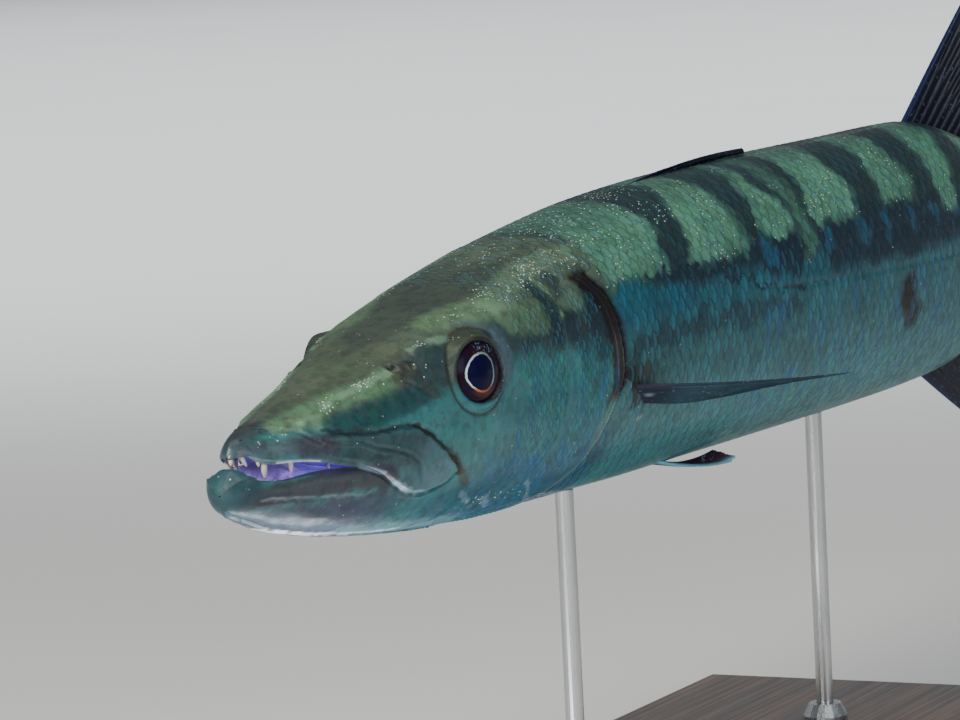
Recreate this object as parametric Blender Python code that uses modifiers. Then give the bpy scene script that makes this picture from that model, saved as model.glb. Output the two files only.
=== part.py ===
"""A great barracuda, life size, held level on a plain display stand.

The fish lies along X with its snout towards -X and its left side towards -Y.
Its form is given as a fish is measured: stations along the body and heights and
widths, all as shares of the standard length (snout tip to the root of the tail
fin). Every shape is worked out in straight body axes (s along the body, w out to
the left, z up) and then laid along the gently bent spine.
"""
import math

import bmesh
import bpy
import numpy as np
from mathutils import Matrix, Vector

# Driving sizes, in metres
STANDARD_LENGTH = 0.855
AXIS_HEIGHT = 0.225
GAP = 0.0003

# The place along the body that stands over the stand's middle, and the spine's turns to the left:
# (where a stretch starts, where it ends, how many degrees the heading turns along it)
BALANCE_POINT = 0.475
SPINE_TURNS = [(0.30, 0.50, -4.0), (0.50, 0.72, -3.2), (0.72, 1.00, 1.3)]

# The body's lines: (distance behind the snout, value), in standard lengths
BACK_LINE = [(0.0125, -0.0072), (0.0145, -0.0030), (0.018, -0.0004), (0.025, 0.0018), (0.04, 0.0050),
             (0.08, 0.0130), (0.12, 0.0225), (0.16, 0.0335), (0.20, 0.0420), (0.25, 0.0520),
             (0.30, 0.0608), (0.38, 0.0707), (0.46, 0.0756), (0.55, 0.0782), (0.64, 0.0802), (0.72, 0.0822),
             (0.80, 0.0660), (0.88, 0.0480), (0.95, 0.0405), (1.0, 0.0405)]
BELLY_LINE = [(0.0050, -0.0248), (0.0058, -0.0284), (0.0085, -0.0320), (0.014, -0.0344), (0.022, -0.0374),
              (0.04, -0.0435), (0.08, -0.0522), (0.13, -0.0595), (0.18, -0.0645), (0.24, -0.0674),
              (0.31, -0.0692), (0.38, -0.0706), (0.46, -0.0706), (0.55, -0.0700), (0.64, -0.0685),
              (0.735, -0.0640), (0.80, -0.0500), (0.88, -0.0360), (0.95, -0.0315), (1.0, -0.0330)]
HALF_WIDTH = [(0.0050, 0.0010), (0.0058, 0.0042), (0.0085, 0.0080), (0.014, 0.0116), (0.022, 0.0150),
              (0.030, 0.0180), (0.04, 0.0210), (0.06, 0.0256), (0.08, 0.0296), (0.12, 0.0362), (0.16, 0.0420),
              (0.20, 0.0457), (0.25, 0.0505), (0.30, 0.0537), (0.38, 0.0562), (0.46, 0.0579), (0.55, 0.0570),
              (0.65, 0.0530), (0.72, 0.0470), (0.80, 0.0370), (0.88, 0.0265), (0.95, 0.0175), (1.0, 0.0090)]
WIDEST_HEIGHT = [(0.0050, -0.0236), (0.0085, -0.0226), (0.014, -0.0211), (0.02, -0.0205), (0.04, -0.019),
                 (0.10, -0.018), (0.16, -0.012), (0.25, -0.008), (0.35, -0.002), (0.50, 0.002), (0.72, 0.006),
                 (0.85, 0.006), (1.0, 0.004)]
# How square a section is above and below its widest height: 2 is an ellipse
UPPER_FULLNESS = [(0.005, 2.0), (0.04, 2.0), (0.08, 2.2), (0.12, 2.7), (0.16, 3.3), (0.20, 3.2),
                  (0.25, 2.8), (0.35, 2.3), (0.60, 2.15), (1.0, 2.0)]
LOWER_FULLNESS = [(0.005, 2.0), (0.06, 1.9), (0.13, 2.0), (1.0, 2.0)]

# The mouth, open in front and closed from MOUTH_CORNER back to the jaw joint
UPPER_LIP = [(0.0125, -0.0092), (0.0145, -0.0085), (0.0175, -0.0084), (0.0225, -0.0112), (0.030, -0.0133),
             (0.040, -0.0137), (0.050, -0.0149), (0.060, -0.0171), (0.070, -0.0197), (0.080, -0.0217),
             (0.095, -0.0270), (0.110, -0.0335), (0.130, -0.0385), (0.150, -0.0420), (0.176, -0.0470)]
LOWER_LIP = [(0.0050, -0.0232), (0.0058, -0.0206), (0.0085, -0.0184), (0.0135, -0.0176), (0.018, -0.0186),
             (0.024, -0.0198), (0.032, -0.0199), (0.040, -0.0194), (0.050, -0.0190), (0.070, -0.0203),
             (0.080, -0.0221)]
MOUTH_CORNER = 0.080
JAW_END = 0.1755
SNOUT_TIP = 0.0125
CHIN_TIP = 0.0050

# The upper jaw is narrower than the lower towards its tip: its share of the half width
UPPER_JAW_SHARE = [(0.0125, 0.10), (0.0135, 0.40), (0.016, 0.56), (0.020, 0.66), (0.030, 0.755),
                   (0.040, 0.87), (0.055, 0.97), (0.070, 1.0)]

# How far the palate's middle stands above the upper lip, and the mouth floor's above the lower lip
PALATE_RISE = [(0.0125, 0.0), (0.022, 0.0045), (0.045, 0.0045), (0.080, 0.0)]
FLOOR_RISE = [(0.0050, 0.0), (0.0075, 0.0018), (0.011, 0.0044), (0.015, 0.0042), (0.020, 0.0008),
              (0.024, -0.0030), (0.035, -0.0075), (0.060, -0.0060), (0.080, 0.0)]
PALATE_SLOPE = 0.70
FLOOR_SLOPE = 0.80

# Where the body's nodes part
HEAD_END = 0.3045
TRUNK_MIDDLE = 0.520
STALK_START = 0.840
BODY_END = 1.0
STALK_MIDDLE = 0.0038

# The eye: its middle on the head, its half length, height and depth, how deep its middle lies,
# and how far it turns forward and up
EYE_PLACE = (0.1675, 0.0095)
EYE_HALF_SIZE = (0.0190, 0.0168, 0.0085)
EYE_SINK = 0.0045
EYE_TURN = (math.radians(13), math.radians(5))
RIM_HALF_LENGTH = 0.0193
RIM_HALF_HEIGHT = 0.0168
RIM_THICKNESS = 0.0021
RIM_SINK = 0.0004
RIM_POINTS = 26

NOSTRIL_PLACE = (0.1195, 0.0166)
NOSTRIL_RADIUS = 0.0017
NOSTRIL_STRETCH = 1.4

# The upper-lip plate: its lower and upper edge, and its end
PLATE_LOWER = [(0.058, -0.0158), (0.080, -0.0212), (0.092, -0.0258), (0.106, -0.0335), (0.118, -0.0385),
               (0.130, -0.0400), (0.141, -0.0388), (0.148, -0.0360), (0.152, -0.0330)]
PLATE_UPPER = [(0.058, -0.0062), (0.068, -0.0060), (0.082, -0.0078), (0.100, -0.0084), (0.110, -0.0076),
               (0.120, -0.0098), (0.130, -0.0140), (0.138, -0.0205), (0.145, -0.0262), (0.152, -0.0315)]
PLATE_LIFT = 0.0012
PLATE_EDGE_SHARE = 0.35
PLATE_DEPTH = 0.0018

# The gill cover: (degrees above the widest height, distance behind the snout)
COVER_FRONT = [(-62, 0.196), (-40, 0.222), (-20, 0.236), (0, 0.243), (20, 0.2465), (47, 0.250)]
COVER_REAR = [(-62, 0.245), (-41, 0.2705), (-30, 0.2778), (-21, 0.2834), (-12.7, 0.2885), (-2, 0.2955),
              (5, 0.2955), (19, 0.2920), (29, 0.2885), (38, 0.2820), (47, 0.2790)]
COVER_LIFT = 0.0022
COVER_FRONT_LIFT = 0.0003
COVER_DEPTH = 0.0030
COVER_ROUND = 0.06
GILL_SLOT = 0.0045

# Teeth: (distance behind the snout, share of the lip's half width, length, side: 1 left, -1 right, 0 both)
UPPER_TEETH = [(0.0158, 0.42, 0.0045, 1), (0.0180, 0.62, 0.0062, 1), (0.0205, 0.55, 0.0030, -1),
               (0.0290, 0.72, 0.0066, 0), (0.0360, 0.80, 0.0030, -1), (0.0430, 0.75, 0.0056, 0),
               (0.0570, 0.80, 0.0026, 0)]
LOWER_TEETH = [(0.0220, 0.62, 0.0030, 0), (0.0300, 0.70, 0.0032, 0), (0.0400, 0.72, 0.0034, 0),
               (0.0500, 0.75, 0.0030, 0)]
TOOTH_LEAN = 0.12
TOOTH_ROOT_DEPTH = 0.0012
TOOTH_RADIUS = 0.0011
TOOTH_WIDENING = 0.07
TOOTH_POINT_SHARE = 0.08

# Fins: the line on the body that each grows from, and the share of its thickness between two rays.
# Tips are (share of the base, distance behind the snout or height); paired fins give their rays'
# directions outward and upward in degrees and their lengths
MEMBRANE_SHARE = 0.62
FIRST_DORSAL_BASE = (0.4040, 0.4760)
FIRST_DORSAL_REACH = (0.5470, 0.5490)
FIRST_DORSAL_RISE = (0.0030, 0.0008)
FIRST_DORSAL_BOW = (0.0026, 0.0008)
SECOND_DORSAL_BASE = (0.7300, 0.8110)
SECOND_DORSAL_REACH = [(0, 0.8180), (0.12, 0.8270), (0.22, 0.8280), (0.4, 0.8270), (0.6, 0.8295),
                       (0.8, 0.8370), (1, 0.8540)]
SECOND_DORSAL_HEIGHT = [(0, 0.1520), (0.12, 0.1530), (0.22, 0.1400), (0.4, 0.1190), (0.6, 0.1030),
                        (0.8, 0.0895), (1, 0.0770)]
ANAL_BASE = (0.7370, 0.8110)
ANAL_REACH = [(0, 0.8260), (0.12, 0.8340), (0.22, 0.8335), (0.4, 0.8310), (0.6, 0.8325), (0.8, 0.8390),
              (1, 0.8550)]
ANAL_HEIGHT = [(0, -0.1100), (0.12, -0.1110), (0.22, -0.1020), (0.4, -0.0880), (0.6, -0.0780),
               (0.8, -0.0690), (1, -0.0600)]
MIDLINE_BOW = (0.0010, 0.0010)
TAIL_REACH = [(0, 1.0680), (0.08, 1.0740), (0.22, 1.0920), (0.38, 1.1020), (0.52, 1.1060), (0.7, 1.1220),
              (0.88, 1.1430), (1, 1.1560)]
TAIL_SPREAD = [(0, 0.0), (0.22, 0.0200), (0.38, 0.0370), (0.52, 0.0530), (0.7, 0.0760), (0.88, 0.1020),
               (1, 0.1190)]
TAIL_ROOT_HALF_HEIGHT = 0.0340
TAIL_BOW = 0.006
PECTORAL_ROOT = ((0.3118, -10.0), (0.3255, -19.5))
PECTORAL_OUTWARD = [(0, 50), (1, 34)]
PECTORAL_UPWARD = [(0, -0.8), (1, -3.6)]
PECTORAL_LENGTHS = [(0, 0.1105), (0.12, 0.1060), (0.35, 0.0830), (0.6, 0.0610), (1, 0.0400)]
PECTORAL_BOW = (0.0, 0.0016, -0.0014)
PELVIC_ROOT = ((0.4020, -71.0), (0.4170, -82.0))
PELVIC_OUTWARD = [(0, 3), (1, 17)]
PELVIC_UPWARD = [(0, -8.5), (0.5, -4.8), (1, 0.0)]
PELVIC_LENGTHS = [(0, 0.0790), (0.2, 0.0770), (0.5, 0.0680), (0.8, 0.0560), (1, 0.0460)]
PELVIC_BOW = (0.0, 0.0, -0.0030)

# The stand, in metres
STAND_SIZE = (0.44, 0.19, 0.018)
STAND_EDGE = 0.003
ROD_RADIUS = 0.0040
ROD_STATIONS = {"front": 0.335, "rear": 0.615}
COLLAR_RADIUS = 0.0105
COLLAR_TOP_RADIUS = 0.0076
COLLAR_HEIGHT = 0.009
COLLAR_SHOULDER = 0.0032


def smooth(stations, at):
    """A curve through the stations that never swings past them, read at the given places."""
    points = np.array(stations, dtype=float)
    xs, ys = points[:, 0], points[:, 1]
    step = np.diff(xs)
    rise = np.diff(ys) / step
    slope = np.empty(len(xs))
    slope[0], slope[-1] = rise[0], rise[-1]
    for i in range(1, len(xs) - 1):
        slope[i] = 0.0
        if rise[i - 1] * rise[i] > 0:
            before = 2 * step[i] + step[i - 1]
            after = step[i] + 2 * step[i - 1]
            slope[i] = (before + after) / (before / rise[i - 1] + after / rise[i])
    x = np.clip(at, xs[0], xs[-1])
    i = np.clip(np.searchsorted(xs, x) - 1, 0, len(xs) - 2)
    t = (x - xs[i]) / step[i]
    start = (1 + 2 * t) * (1 - t) ** 2 * ys[i] + t * (1 - t) ** 2 * step[i] * slope[i]
    end = t * t * (3 - 2 * t) * ys[i + 1] + t * t * (t - 1) * step[i] * slope[i + 1]
    return start + end


def ease(x, low, high):
    """0 below low, 1 above high, and a smooth step between."""
    t = np.clip((x - low) / (high - low), 0.0, 1.0)
    return t * t * (3 - 2 * t)


def signed_power(value, power):
    return np.sign(value) * np.abs(value) ** power


def ring_point(s, angle):
    """Half width and height of the skin at station s and an angle above the widest height."""
    widest = smooth(WIDEST_HEIGHT, s)
    above = np.sin(angle) >= 0
    fullness = np.where(above, smooth(UPPER_FULLNESS, s), smooth(LOWER_FULLNESS, s))
    reach = np.where(above, smooth(BACK_LINE, s) - widest, widest - smooth(BELLY_LINE, s))
    w = smooth(HALF_WIDTH, s) * signed_power(np.cos(angle), 2 / fullness)
    z = widest + reach * signed_power(np.sin(angle), 2 / fullness)
    return w, z


def angle_at(s, z):
    """The angle at which the skin at station s has height z."""
    widest = smooth(WIDEST_HEIGHT, s)
    above = z >= widest
    fullness = np.where(above, smooth(UPPER_FULLNESS, s), smooth(LOWER_FULLNESS, s))
    reach = np.where(above, smooth(BACK_LINE, s) - widest, smooth(BELLY_LINE, s) - widest)
    share = np.clip((z - widest) / reach, 0.0, 1.0) ** (fullness / 2)
    return np.where(above, 1, -1) * np.arcsin(share)


def half_width_at(s, z):
    return ring_point(s, angle_at(s, z))[0]


def skin_normal(s, angle):
    """Outward direction of the skin, in body axes."""
    ds, da = 0.002, 0.02
    low, high = np.maximum(angle - da, -np.pi / 2), np.minimum(angle + da, np.pi / 2)
    w0, z0 = ring_point(s - ds, angle)
    w1, z1 = ring_point(s + ds, angle)
    w2, z2 = ring_point(s, low)
    w3, z3 = ring_point(s, high)
    along = np.stack([np.full_like(w0, 2 * ds), w1 - w0, z1 - z0], axis=-1)
    around = np.stack([np.zeros_like(w0), w3 - w2, z3 - z2], axis=-1)
    normal = np.cross(along, around)
    return normal / np.linalg.norm(normal, axis=-1, keepdims=True)


def spine_table():
    """Places and headings along the bent spine, one row per small step."""
    steps = np.linspace(-0.1, 1.3, 2801)
    heading = np.zeros_like(steps)
    for start, end, turn in SPINE_TURNS:
        heading += math.radians(turn) * np.clip((steps - start) / (end - start), 0, 1)
    middle = 0.5 * (heading[1:] + heading[:-1])
    x = np.concatenate([[0.0], np.cumsum(np.cos(middle) * np.diff(steps))])
    y = np.concatenate([[0.0], np.cumsum(np.sin(middle) * np.diff(steps))])
    x -= np.interp(BALANCE_POINT, steps, x)
    y -= np.interp(BALANCE_POINT, steps, y)
    return steps, x, y, heading


SPINE = spine_table()


def bend(points):
    """Body axes (s, w, z) to metres about the balance point, along the bent spine."""
    points = np.asarray(points, dtype=float)
    steps, x, y, heading = SPINE
    s, w, z = points[..., 0], points[..., 1], points[..., 2]
    turn = np.interp(s, steps, heading)
    px = np.interp(s, steps, x) + w * np.sin(turn)
    py = np.interp(s, steps, y) - w * np.cos(turn)
    return np.stack([px, py, z], axis=-1) * STANDARD_LENGTH


def material(name, colour, roughness, metallic=0.0):
    made = bpy.data.materials.new(name)
    made.use_nodes = True
    shader = made.node_tree.nodes["Principled BSDF"]
    shader.inputs["Base Color"].default_value = (*colour, 1.0)
    shader.inputs["Roughness"].default_value = roughness
    shader.inputs["Metallic"].default_value = metallic
    return made


def add_object(name, mesh, made_of, parent=None, collection=None):
    thing = bpy.data.objects.new(name, mesh)
    (collection or PARTS).objects.link(thing)
    thing.parent = parent
    if made_of is not None:
        mesh.materials.clear()
        mesh.materials.append(made_of)
    return thing


def mesh_from(name, points, faces):
    """A mesh of body-axis points, bent along the spine, with its faces turned outward."""
    mesh = bpy.data.meshes.new(name)
    mesh.from_pydata([tuple(p) for p in bend(points)], [], faces)
    work = bmesh.new()
    work.from_mesh(mesh)
    bmesh.ops.recalc_face_normals(work, faces=work.faces)
    work.to_mesh(mesh)
    work.free()
    mesh.shade_smooth()
    return mesh


def whole_ring(s, half_w, half_z):
    """A closed ring from its left half, which runs from the top middle to the bottom middle."""
    left = np.stack([np.full(len(half_w), s), half_w, half_z], axis=1)
    right = left[-2:0:-1] * [1, -1, 1]
    return np.concatenate([left, right])


def loft(name, rings, start_tip=None):
    """A closed solid through rings of equal count, ending in flat caps or in a tip."""
    count = len(rings[0])
    points = np.concatenate(rings)
    faces = []
    for r in range(len(rings) - 1):
        for i in range(count):
            j = (i + 1) % count
            a, b = r * count, (r + 1) * count
            faces.append((a + i, b + i, b + j, a + j))
    if start_tip is None:
        faces.append(tuple(range(count)))
    else:
        points = np.concatenate([points, [start_tip]])
        tip = len(points) - 1
        faces += [(tip, i, (i + 1) % count) for i in range(count)]
    last = (len(rings) - 1) * count
    faces.append(tuple(range(last + count - 1, last - 1, -1)))
    return mesh_from(name, points, faces)


def slab(name, left, right):
    """A closed plate between two grids of points, split into triangles alike on both faces."""
    rows, columns = left.shape[:2]
    points = np.concatenate([left.reshape(-1, 3), right.reshape(-1, 3)])
    half = rows * columns
    faces = []

    def at(row, column):
        return row * columns + column

    for r in range(rows - 1):
        for c in range(columns - 1):
            a, b, d, e = at(r, c), at(r, c + 1), at(r + 1, c + 1), at(r + 1, c)
            faces += [(a, b, d), (a, d, e)]
            faces += [(a + half, d + half, b + half), (a + half, e + half, d + half)]
    edge = [at(0, c) for c in range(columns)]
    edge += [at(r, columns - 1) for r in range(1, rows)]
    edge += [at(rows - 1, c) for c in range(columns - 2, -1, -1)]
    edge += [at(r, 0) for r in range(rows - 2, 0, -1)]
    for a, b in zip(edge, edge[1:] + edge[:1]):
        faces += [(a, a + half, b), (b, a + half, b + half)]
    return mesh_from(name, points, faces)


def largest_body(mesh):
    """Keeps only the largest closed surface of a mesh."""
    work = bmesh.new()
    work.from_mesh(mesh)
    left = set(work.faces)
    bodies = []
    while left:
        seed = left.pop()
        body, front = [seed], [seed]
        while front:
            face = front.pop()
            near = [f for edge in face.edges for f in edge.link_faces if f in left]
            left.difference_update(near)
            body += near
            front += near
        bodies.append(body)
    bodies.sort(key=lambda faces: sum(f.calc_area() for f in faces))
    for body in bodies[:-1]:
        bmesh.ops.delete(work, geom=body, context="FACES")
    bmesh.ops.delete(work, geom=[v for v in work.verts if not v.link_faces], context="VERTS")
    work.to_mesh(mesh)
    work.free()


def boolean(node, others, operation):
    """Joins or cuts a node once with a whole collection of closed meshes."""
    group = bpy.data.collections.new(f"{node.name}_{operation.lower()}")
    CUTTERS.children.link(group)
    for other in others:
        for collection in list(other.users_collection):
            collection.objects.unlink(other)
        group.objects.link(other)
        other.hide_render = True
        other.display_type = "WIRE"
    step = node.modifiers.new(operation.title(), "BOOLEAN")
    step.operation = operation
    step.operand_type = "COLLECTION"
    step.collection = group
    step.solver = "EXACT"
    bpy.context.view_layer.update()
    graph = bpy.context.evaluated_depsgraph_get()
    mesh = bpy.data.meshes.new_from_object(node.evaluated_get(graph))
    node.modifiers.clear()
    old = node.data
    kept = old.materials[0]
    node.data = mesh
    mesh.name = node.name
    mesh.materials.clear()
    mesh.materials.append(kept)
    bpy.data.meshes.remove(old)
    for other in list(group.objects):
        bpy.data.objects.remove(other)
    bpy.data.collections.remove(group)
    largest_body(mesh)


# Head and jaw
CHIN_STATIONS = [0.0060, 0.0080, 0.0106]
HEAD_STATIONS = [0.0137, 0.0163, 0.0200, 0.0250, 0.0310, 0.0380, 0.0450, 0.0530, 0.0620, 0.0710, 0.0800,
                 0.090, 0.100, 0.111, 0.122, 0.133, 0.144, 0.155, 0.165, JAW_END]
REAR_STATIONS = [0.187, 0.198, 0.210, 0.222, 0.235, 0.248, 0.262, 0.276, 0.290, HEAD_END]
SIDE_POINTS = 13
FLOOR_POINTS = 6


def gum_height(s, inward, upper):
    """Height of the palate or the mouth floor, at a share of the way from the lip in to the middle."""
    if upper:
        return smooth(UPPER_LIP, s) + smooth(PALATE_RISE, s) * ease(inward, 0.0, PALATE_SLOPE)
    return smooth(LOWER_LIP, s) + smooth(FLOOR_RISE, s) * ease(inward, 0.0, FLOOR_SLOPE)


def upper_jaw_ring(s):
    """The skin from the back down to the upper lip, then the arched palate."""
    cut = angle_at(s, smooth(UPPER_LIP, s))
    w, z = ring_point(s, np.linspace(np.pi / 2, cut, SIDE_POINTS))
    w = w * smooth(UPPER_JAW_SHARE, s)
    across = np.linspace(1, 0, FLOOR_POINTS + 1)[1:]
    palate = gum_height(s, 1 - across, True)
    return whole_ring(s, np.append(w, w[-1] * across), np.append(z, palate))


def full_ring(s, side_points=SIDE_POINTS, floor_points=FLOOR_POINTS, split=math.radians(-35)):
    angles = np.linspace(np.pi / 2, split, side_points)
    angles = np.append(angles, np.linspace(split, -np.pi / 2, floor_points + 1)[1:])
    w, z = ring_point(s, angles)
    w[0] = w[-1] = 0.0
    return whole_ring(s, w, z)


def lower_jaw_ring(s):
    """The mouth's floor from its middle out to the lower lip, then the skin down to the chin."""
    across = np.linspace(0, 1, FLOOR_POINTS + 1)[:-1]
    if s < MOUTH_CORNER:
        lip = smooth(LOWER_LIP, s)
        mouth_floor = gum_height(s, 1 - across, False)
    else:
        lip = smooth(UPPER_LIP, s) - GAP / STANDARD_LENGTH
        mouth_floor = np.full(FLOOR_POINTS, lip)
    cut = angle_at(s, lip)
    w, z = ring_point(s, np.linspace(cut, -np.pi / 2, 11))
    w[-1] = 0.0
    return whole_ring(s, np.append(w[0] * across, w), np.append(mouth_floor, z))


def tooth(s, w, z, length, up, parent):
    """One pointed tooth as a five-sided cone, its root sunk into the jaw."""
    radius = TOOTH_RADIUS + TOOTH_WIDENING * length
    work = bmesh.new()
    bmesh.ops.create_cone(work, cap_ends=True, segments=5, radius1=radius,
                          radius2=radius * TOOTH_POINT_SHARE, depth=length)
    turn = Matrix.Rotation(TOOTH_LEAN, 4, "Y") @ Matrix.Rotation(0 if up else math.pi, 4, "X")
    for vert in work.verts:
        vert.co = turn @ (vert.co + Vector((0, 0, 0.5 * length)))
    points = np.array([vert.co[:] for vert in work.verts]) + [s, w, z]
    faces = [tuple(v.index for v in face.verts) for face in work.faces]
    work.free()
    return add_object("tooth", mesh_from("tooth", points, faces), None, parent)


def tooth_row(table, upper, parent):
    """The teeth of one jaw, rooted a little below the gum that they grow from."""
    teeth = []
    for s, share, length, only in table:
        lip = float(smooth(UPPER_LIP if upper else LOWER_LIP, s))
        out = float(half_width_at(s, lip)) * share
        if upper:
            out *= float(smooth(UPPER_JAW_SHARE, s))
        gum = float(gum_height(s, 1 - share, upper))
        root = gum + TOOTH_ROOT_DEPTH * (1 if upper else -1)
        for side in (1, -1):
            if only in (0, side):
                teeth.append(tooth(s, side * out, root, length + TOOTH_ROOT_DEPTH, not upper, parent))
    return teeth


def eye_frame(side):
    """Where an eye's middle is, in metres, and its outward direction."""
    s, z = EYE_PLACE
    w = float(half_width_at(s, z))
    forward, up = EYE_TURN
    out = Vector((-math.sin(forward), -side * math.cos(forward) * math.cos(up), math.sin(up)))
    middle = Vector(bend([s, side * w, z]))
    return middle - out.normalized() * EYE_SINK * STANDARD_LENGTH, out.normalized()


def eyeball(name, side, grow, made_of, parent):
    middle, out = eye_frame(side)
    bpy.ops.mesh.primitive_uv_sphere_add(segments=18, ring_count=10, radius=1.0)
    ball = bpy.context.object
    ball.name = name
    ball.data.name = name
    half_sizes = [half * STANDARD_LENGTH + grow for half in EYE_HALF_SIZE]
    ball.data.transform(Matrix.Diagonal((*half_sizes, 1.0)))
    ball.data.shade_smooth()
    for collection in list(ball.users_collection):
        collection.objects.unlink(ball)
    PARTS.objects.link(ball)
    ball.parent = parent
    ball.location = middle
    ball.rotation_euler = out.to_track_quat("Z", "Y").to_euler()
    if made_of is not None:
        ball.data.materials.append(made_of)
    return ball


def eye_rim(side, parent):
    """The raised rim round the eye, a closed tube that lies on the head's skin."""
    curve = bpy.data.curves.new("eye_rim", "CURVE")
    curve.dimensions = "3D"
    curve.bevel_depth = RIM_THICKNESS * STANDARD_LENGTH
    curve.bevel_resolution = 1
    spline = curve.splines.new("POLY")
    spline.points.add(RIM_POINTS - 1)
    spline.use_cyclic_u = True
    for i in range(RIM_POINTS):
        turn = 2 * math.pi * i / RIM_POINTS
        s = EYE_PLACE[0] + RIM_HALF_LENGTH * math.cos(turn)
        z = EYE_PLACE[1] + RIM_HALF_HEIGHT * math.sin(turn)
        w = float(half_width_at(s, z)) - RIM_SINK
        spline.points[i].co = (*bend([s, side * w, z]), 1.0)
    tube = bpy.data.objects.new("eye_rim", curve)
    PARTS.objects.link(tube)
    tube.parent = parent
    bpy.context.view_layer.update()
    graph = bpy.context.evaluated_depsgraph_get()
    mesh = bpy.data.meshes.new_from_object(tube.evaluated_get(graph))
    bpy.data.objects.remove(tube)
    work = bmesh.new()
    work.from_mesh(mesh)
    bmesh.ops.remove_doubles(work, verts=work.verts, dist=0.00001)
    bmesh.ops.recalc_face_normals(work, faces=work.faces)
    work.to_mesh(mesh)
    work.free()
    return add_object("eye_rim", mesh, None, parent)


def nostril(side, parent):
    """The pit's cutter: a small flattened ball half sunk into the snout."""
    s, z = NOSTRIL_PLACE
    w = float(half_width_at(s, z))
    work = bmesh.new()
    bmesh.ops.create_icosphere(work, subdivisions=1, radius=1.0)
    points = np.array([vert.co[:] for vert in work.verts]) * NOSTRIL_RADIUS * [NOSTRIL_STRETCH, 1.0, 1.0]
    faces = [tuple(v.index for v in face.verts) for face in work.faces]
    work.free()
    return add_object("nostril", mesh_from("nostril", points + [s, side * w, z], faces), None, parent)


def lip_plate(name, side, grow, made_of, parent):
    """The plate that lies along the upper lip and over the rear of the lower jaw."""
    ends = PLATE_LOWER[0][0], PLATE_LOWER[-1][0]
    s = np.linspace(ends[0] - grow, ends[1] + grow, 13)
    low, high = smooth(PLATE_LOWER, s) - grow, smooth(PLATE_UPPER, s) + grow
    across = np.linspace(0, 1, 6)
    z = low[:, None] + (high - low)[:, None] * across[None, :]
    stations = np.repeat(s[:, None], len(across), axis=1)
    angle = angle_at(stations, z)
    w = ring_point(stations, angle)[0]
    normal = skin_normal(stations, angle)
    middle = np.stack([stations, w, z], axis=-1)
    crown = np.sin(np.pi * np.clip(across, 0.02, 0.98))[None, :, None] ** 0.5
    outer = middle + normal * (PLATE_LIFT * (PLATE_EDGE_SHARE + (1 - PLATE_EDGE_SHARE) * crown) + 4 * grow)
    inner = middle - normal * (PLATE_DEPTH + grow)
    flip = [1, side, 1]
    return add_object(name, slab(name, outer * flip, inner * flip), made_of, parent)


def gill_cover(name, side, grow, slot, made_of, parent):
    """The gill cover, whose rear edge stands off the body over the gill opening."""
    margin = math.degrees(grow / COVER_ROUND)
    degrees = np.linspace(COVER_FRONT[0][0] - margin, COVER_FRONT[-1][0] + margin, 15)
    front = smooth(COVER_FRONT, degrees) - grow
    rear = smooth(COVER_REAR, degrees) + grow + slot
    along = np.linspace(0, 1, 7)
    stations = front[:, None] + (rear - front)[:, None] * along[None, :]
    angle = np.repeat(np.radians(degrees)[:, None], len(along), axis=1)
    w, z = ring_point(stations, angle)
    normal = skin_normal(stations, angle)
    middle = np.stack([stations, w, z], axis=-1)
    lift = COVER_LIFT * ease(along, 0.1, 0.9)[None, :, None] + COVER_FRONT_LIFT
    outer = middle + normal * (lift + 6 * grow)
    inner = middle - normal * (COVER_DEPTH + grow)
    flip = [1, side, 1]
    return add_object(name, slab(name, outer * flip, inner * flip), made_of, parent)


def build_head(looks, parent):
    """The skull and upper jaw, the lower jaw, the lip plates, the gill covers and the eyes."""
    step = GAP / STANDARD_LENGTH
    rings = [upper_jaw_ring(s) for s in HEAD_STATIONS]
    rings.append(upper_jaw_ring(JAW_END + step))
    rings += [full_ring(s) for s in [JAW_END + step + 0.0003] + REAR_STATIONS]
    tip = [SNOUT_TIP, 0.0, 0.5 * float(smooth(UPPER_LIP, SNOUT_TIP) + smooth(BACK_LINE, SNOUT_TIP))]
    head = add_object("head", loft("head", rings, tip), looks["snout"], parent)

    chin = [CHIN_TIP, 0.0, 0.5 * float(smooth(LOWER_LIP, CHIN_TIP) + smooth(BELLY_LINE, CHIN_TIP))]
    jaw_rings = [lower_jaw_ring(s) for s in CHIN_STATIONS + HEAD_STATIONS]
    jaw = add_object("lower_jaw", loft("lower_jaw", jaw_rings, chin), looks["jaw"], parent)

    rims = [eye_rim(side, parent) for side in (1, -1)]
    boolean(head, rims + tooth_row(UPPER_TEETH, True, parent), "UNION")
    boolean(jaw, tooth_row(LOWER_TEETH, False, parent), "UNION")

    cuts = []
    for side in (1, -1):
        cuts.append(eyeball("eye_socket", side, GAP, None, parent))
        cuts.append(nostril(side, parent))
        cuts.append(lip_plate("plate_seat", side, step, None, parent))
        cuts.append(gill_cover("cover_seat", side, step, GILL_SLOT, None, parent))
    boolean(head, cuts, "DIFFERENCE")
    boolean(jaw, [lip_plate("plate_seat", side, step, None, parent) for side in (1, -1)], "DIFFERENCE")

    for side, word in ((1, "left"), (-1, "right")):
        lip_plate(f"upper_lip_{word}", side, 0.0, looks["lip"], parent)
        gill_cover(f"gill_cover_{word}", side, 0.0, 0.0, looks["cheek"], parent)
        eyeball(f"eye_{word}", side, 0.0, looks["eye"], parent)


# Body
def body_length(name, start, end, count, made_of, parent):
    """One length of the body between two flat cuts across the spine."""
    rings = [full_ring(s, 12, 5) for s in np.linspace(start, end, count)]
    return add_object(name, loft(name, rings), made_of, parent)


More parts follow.
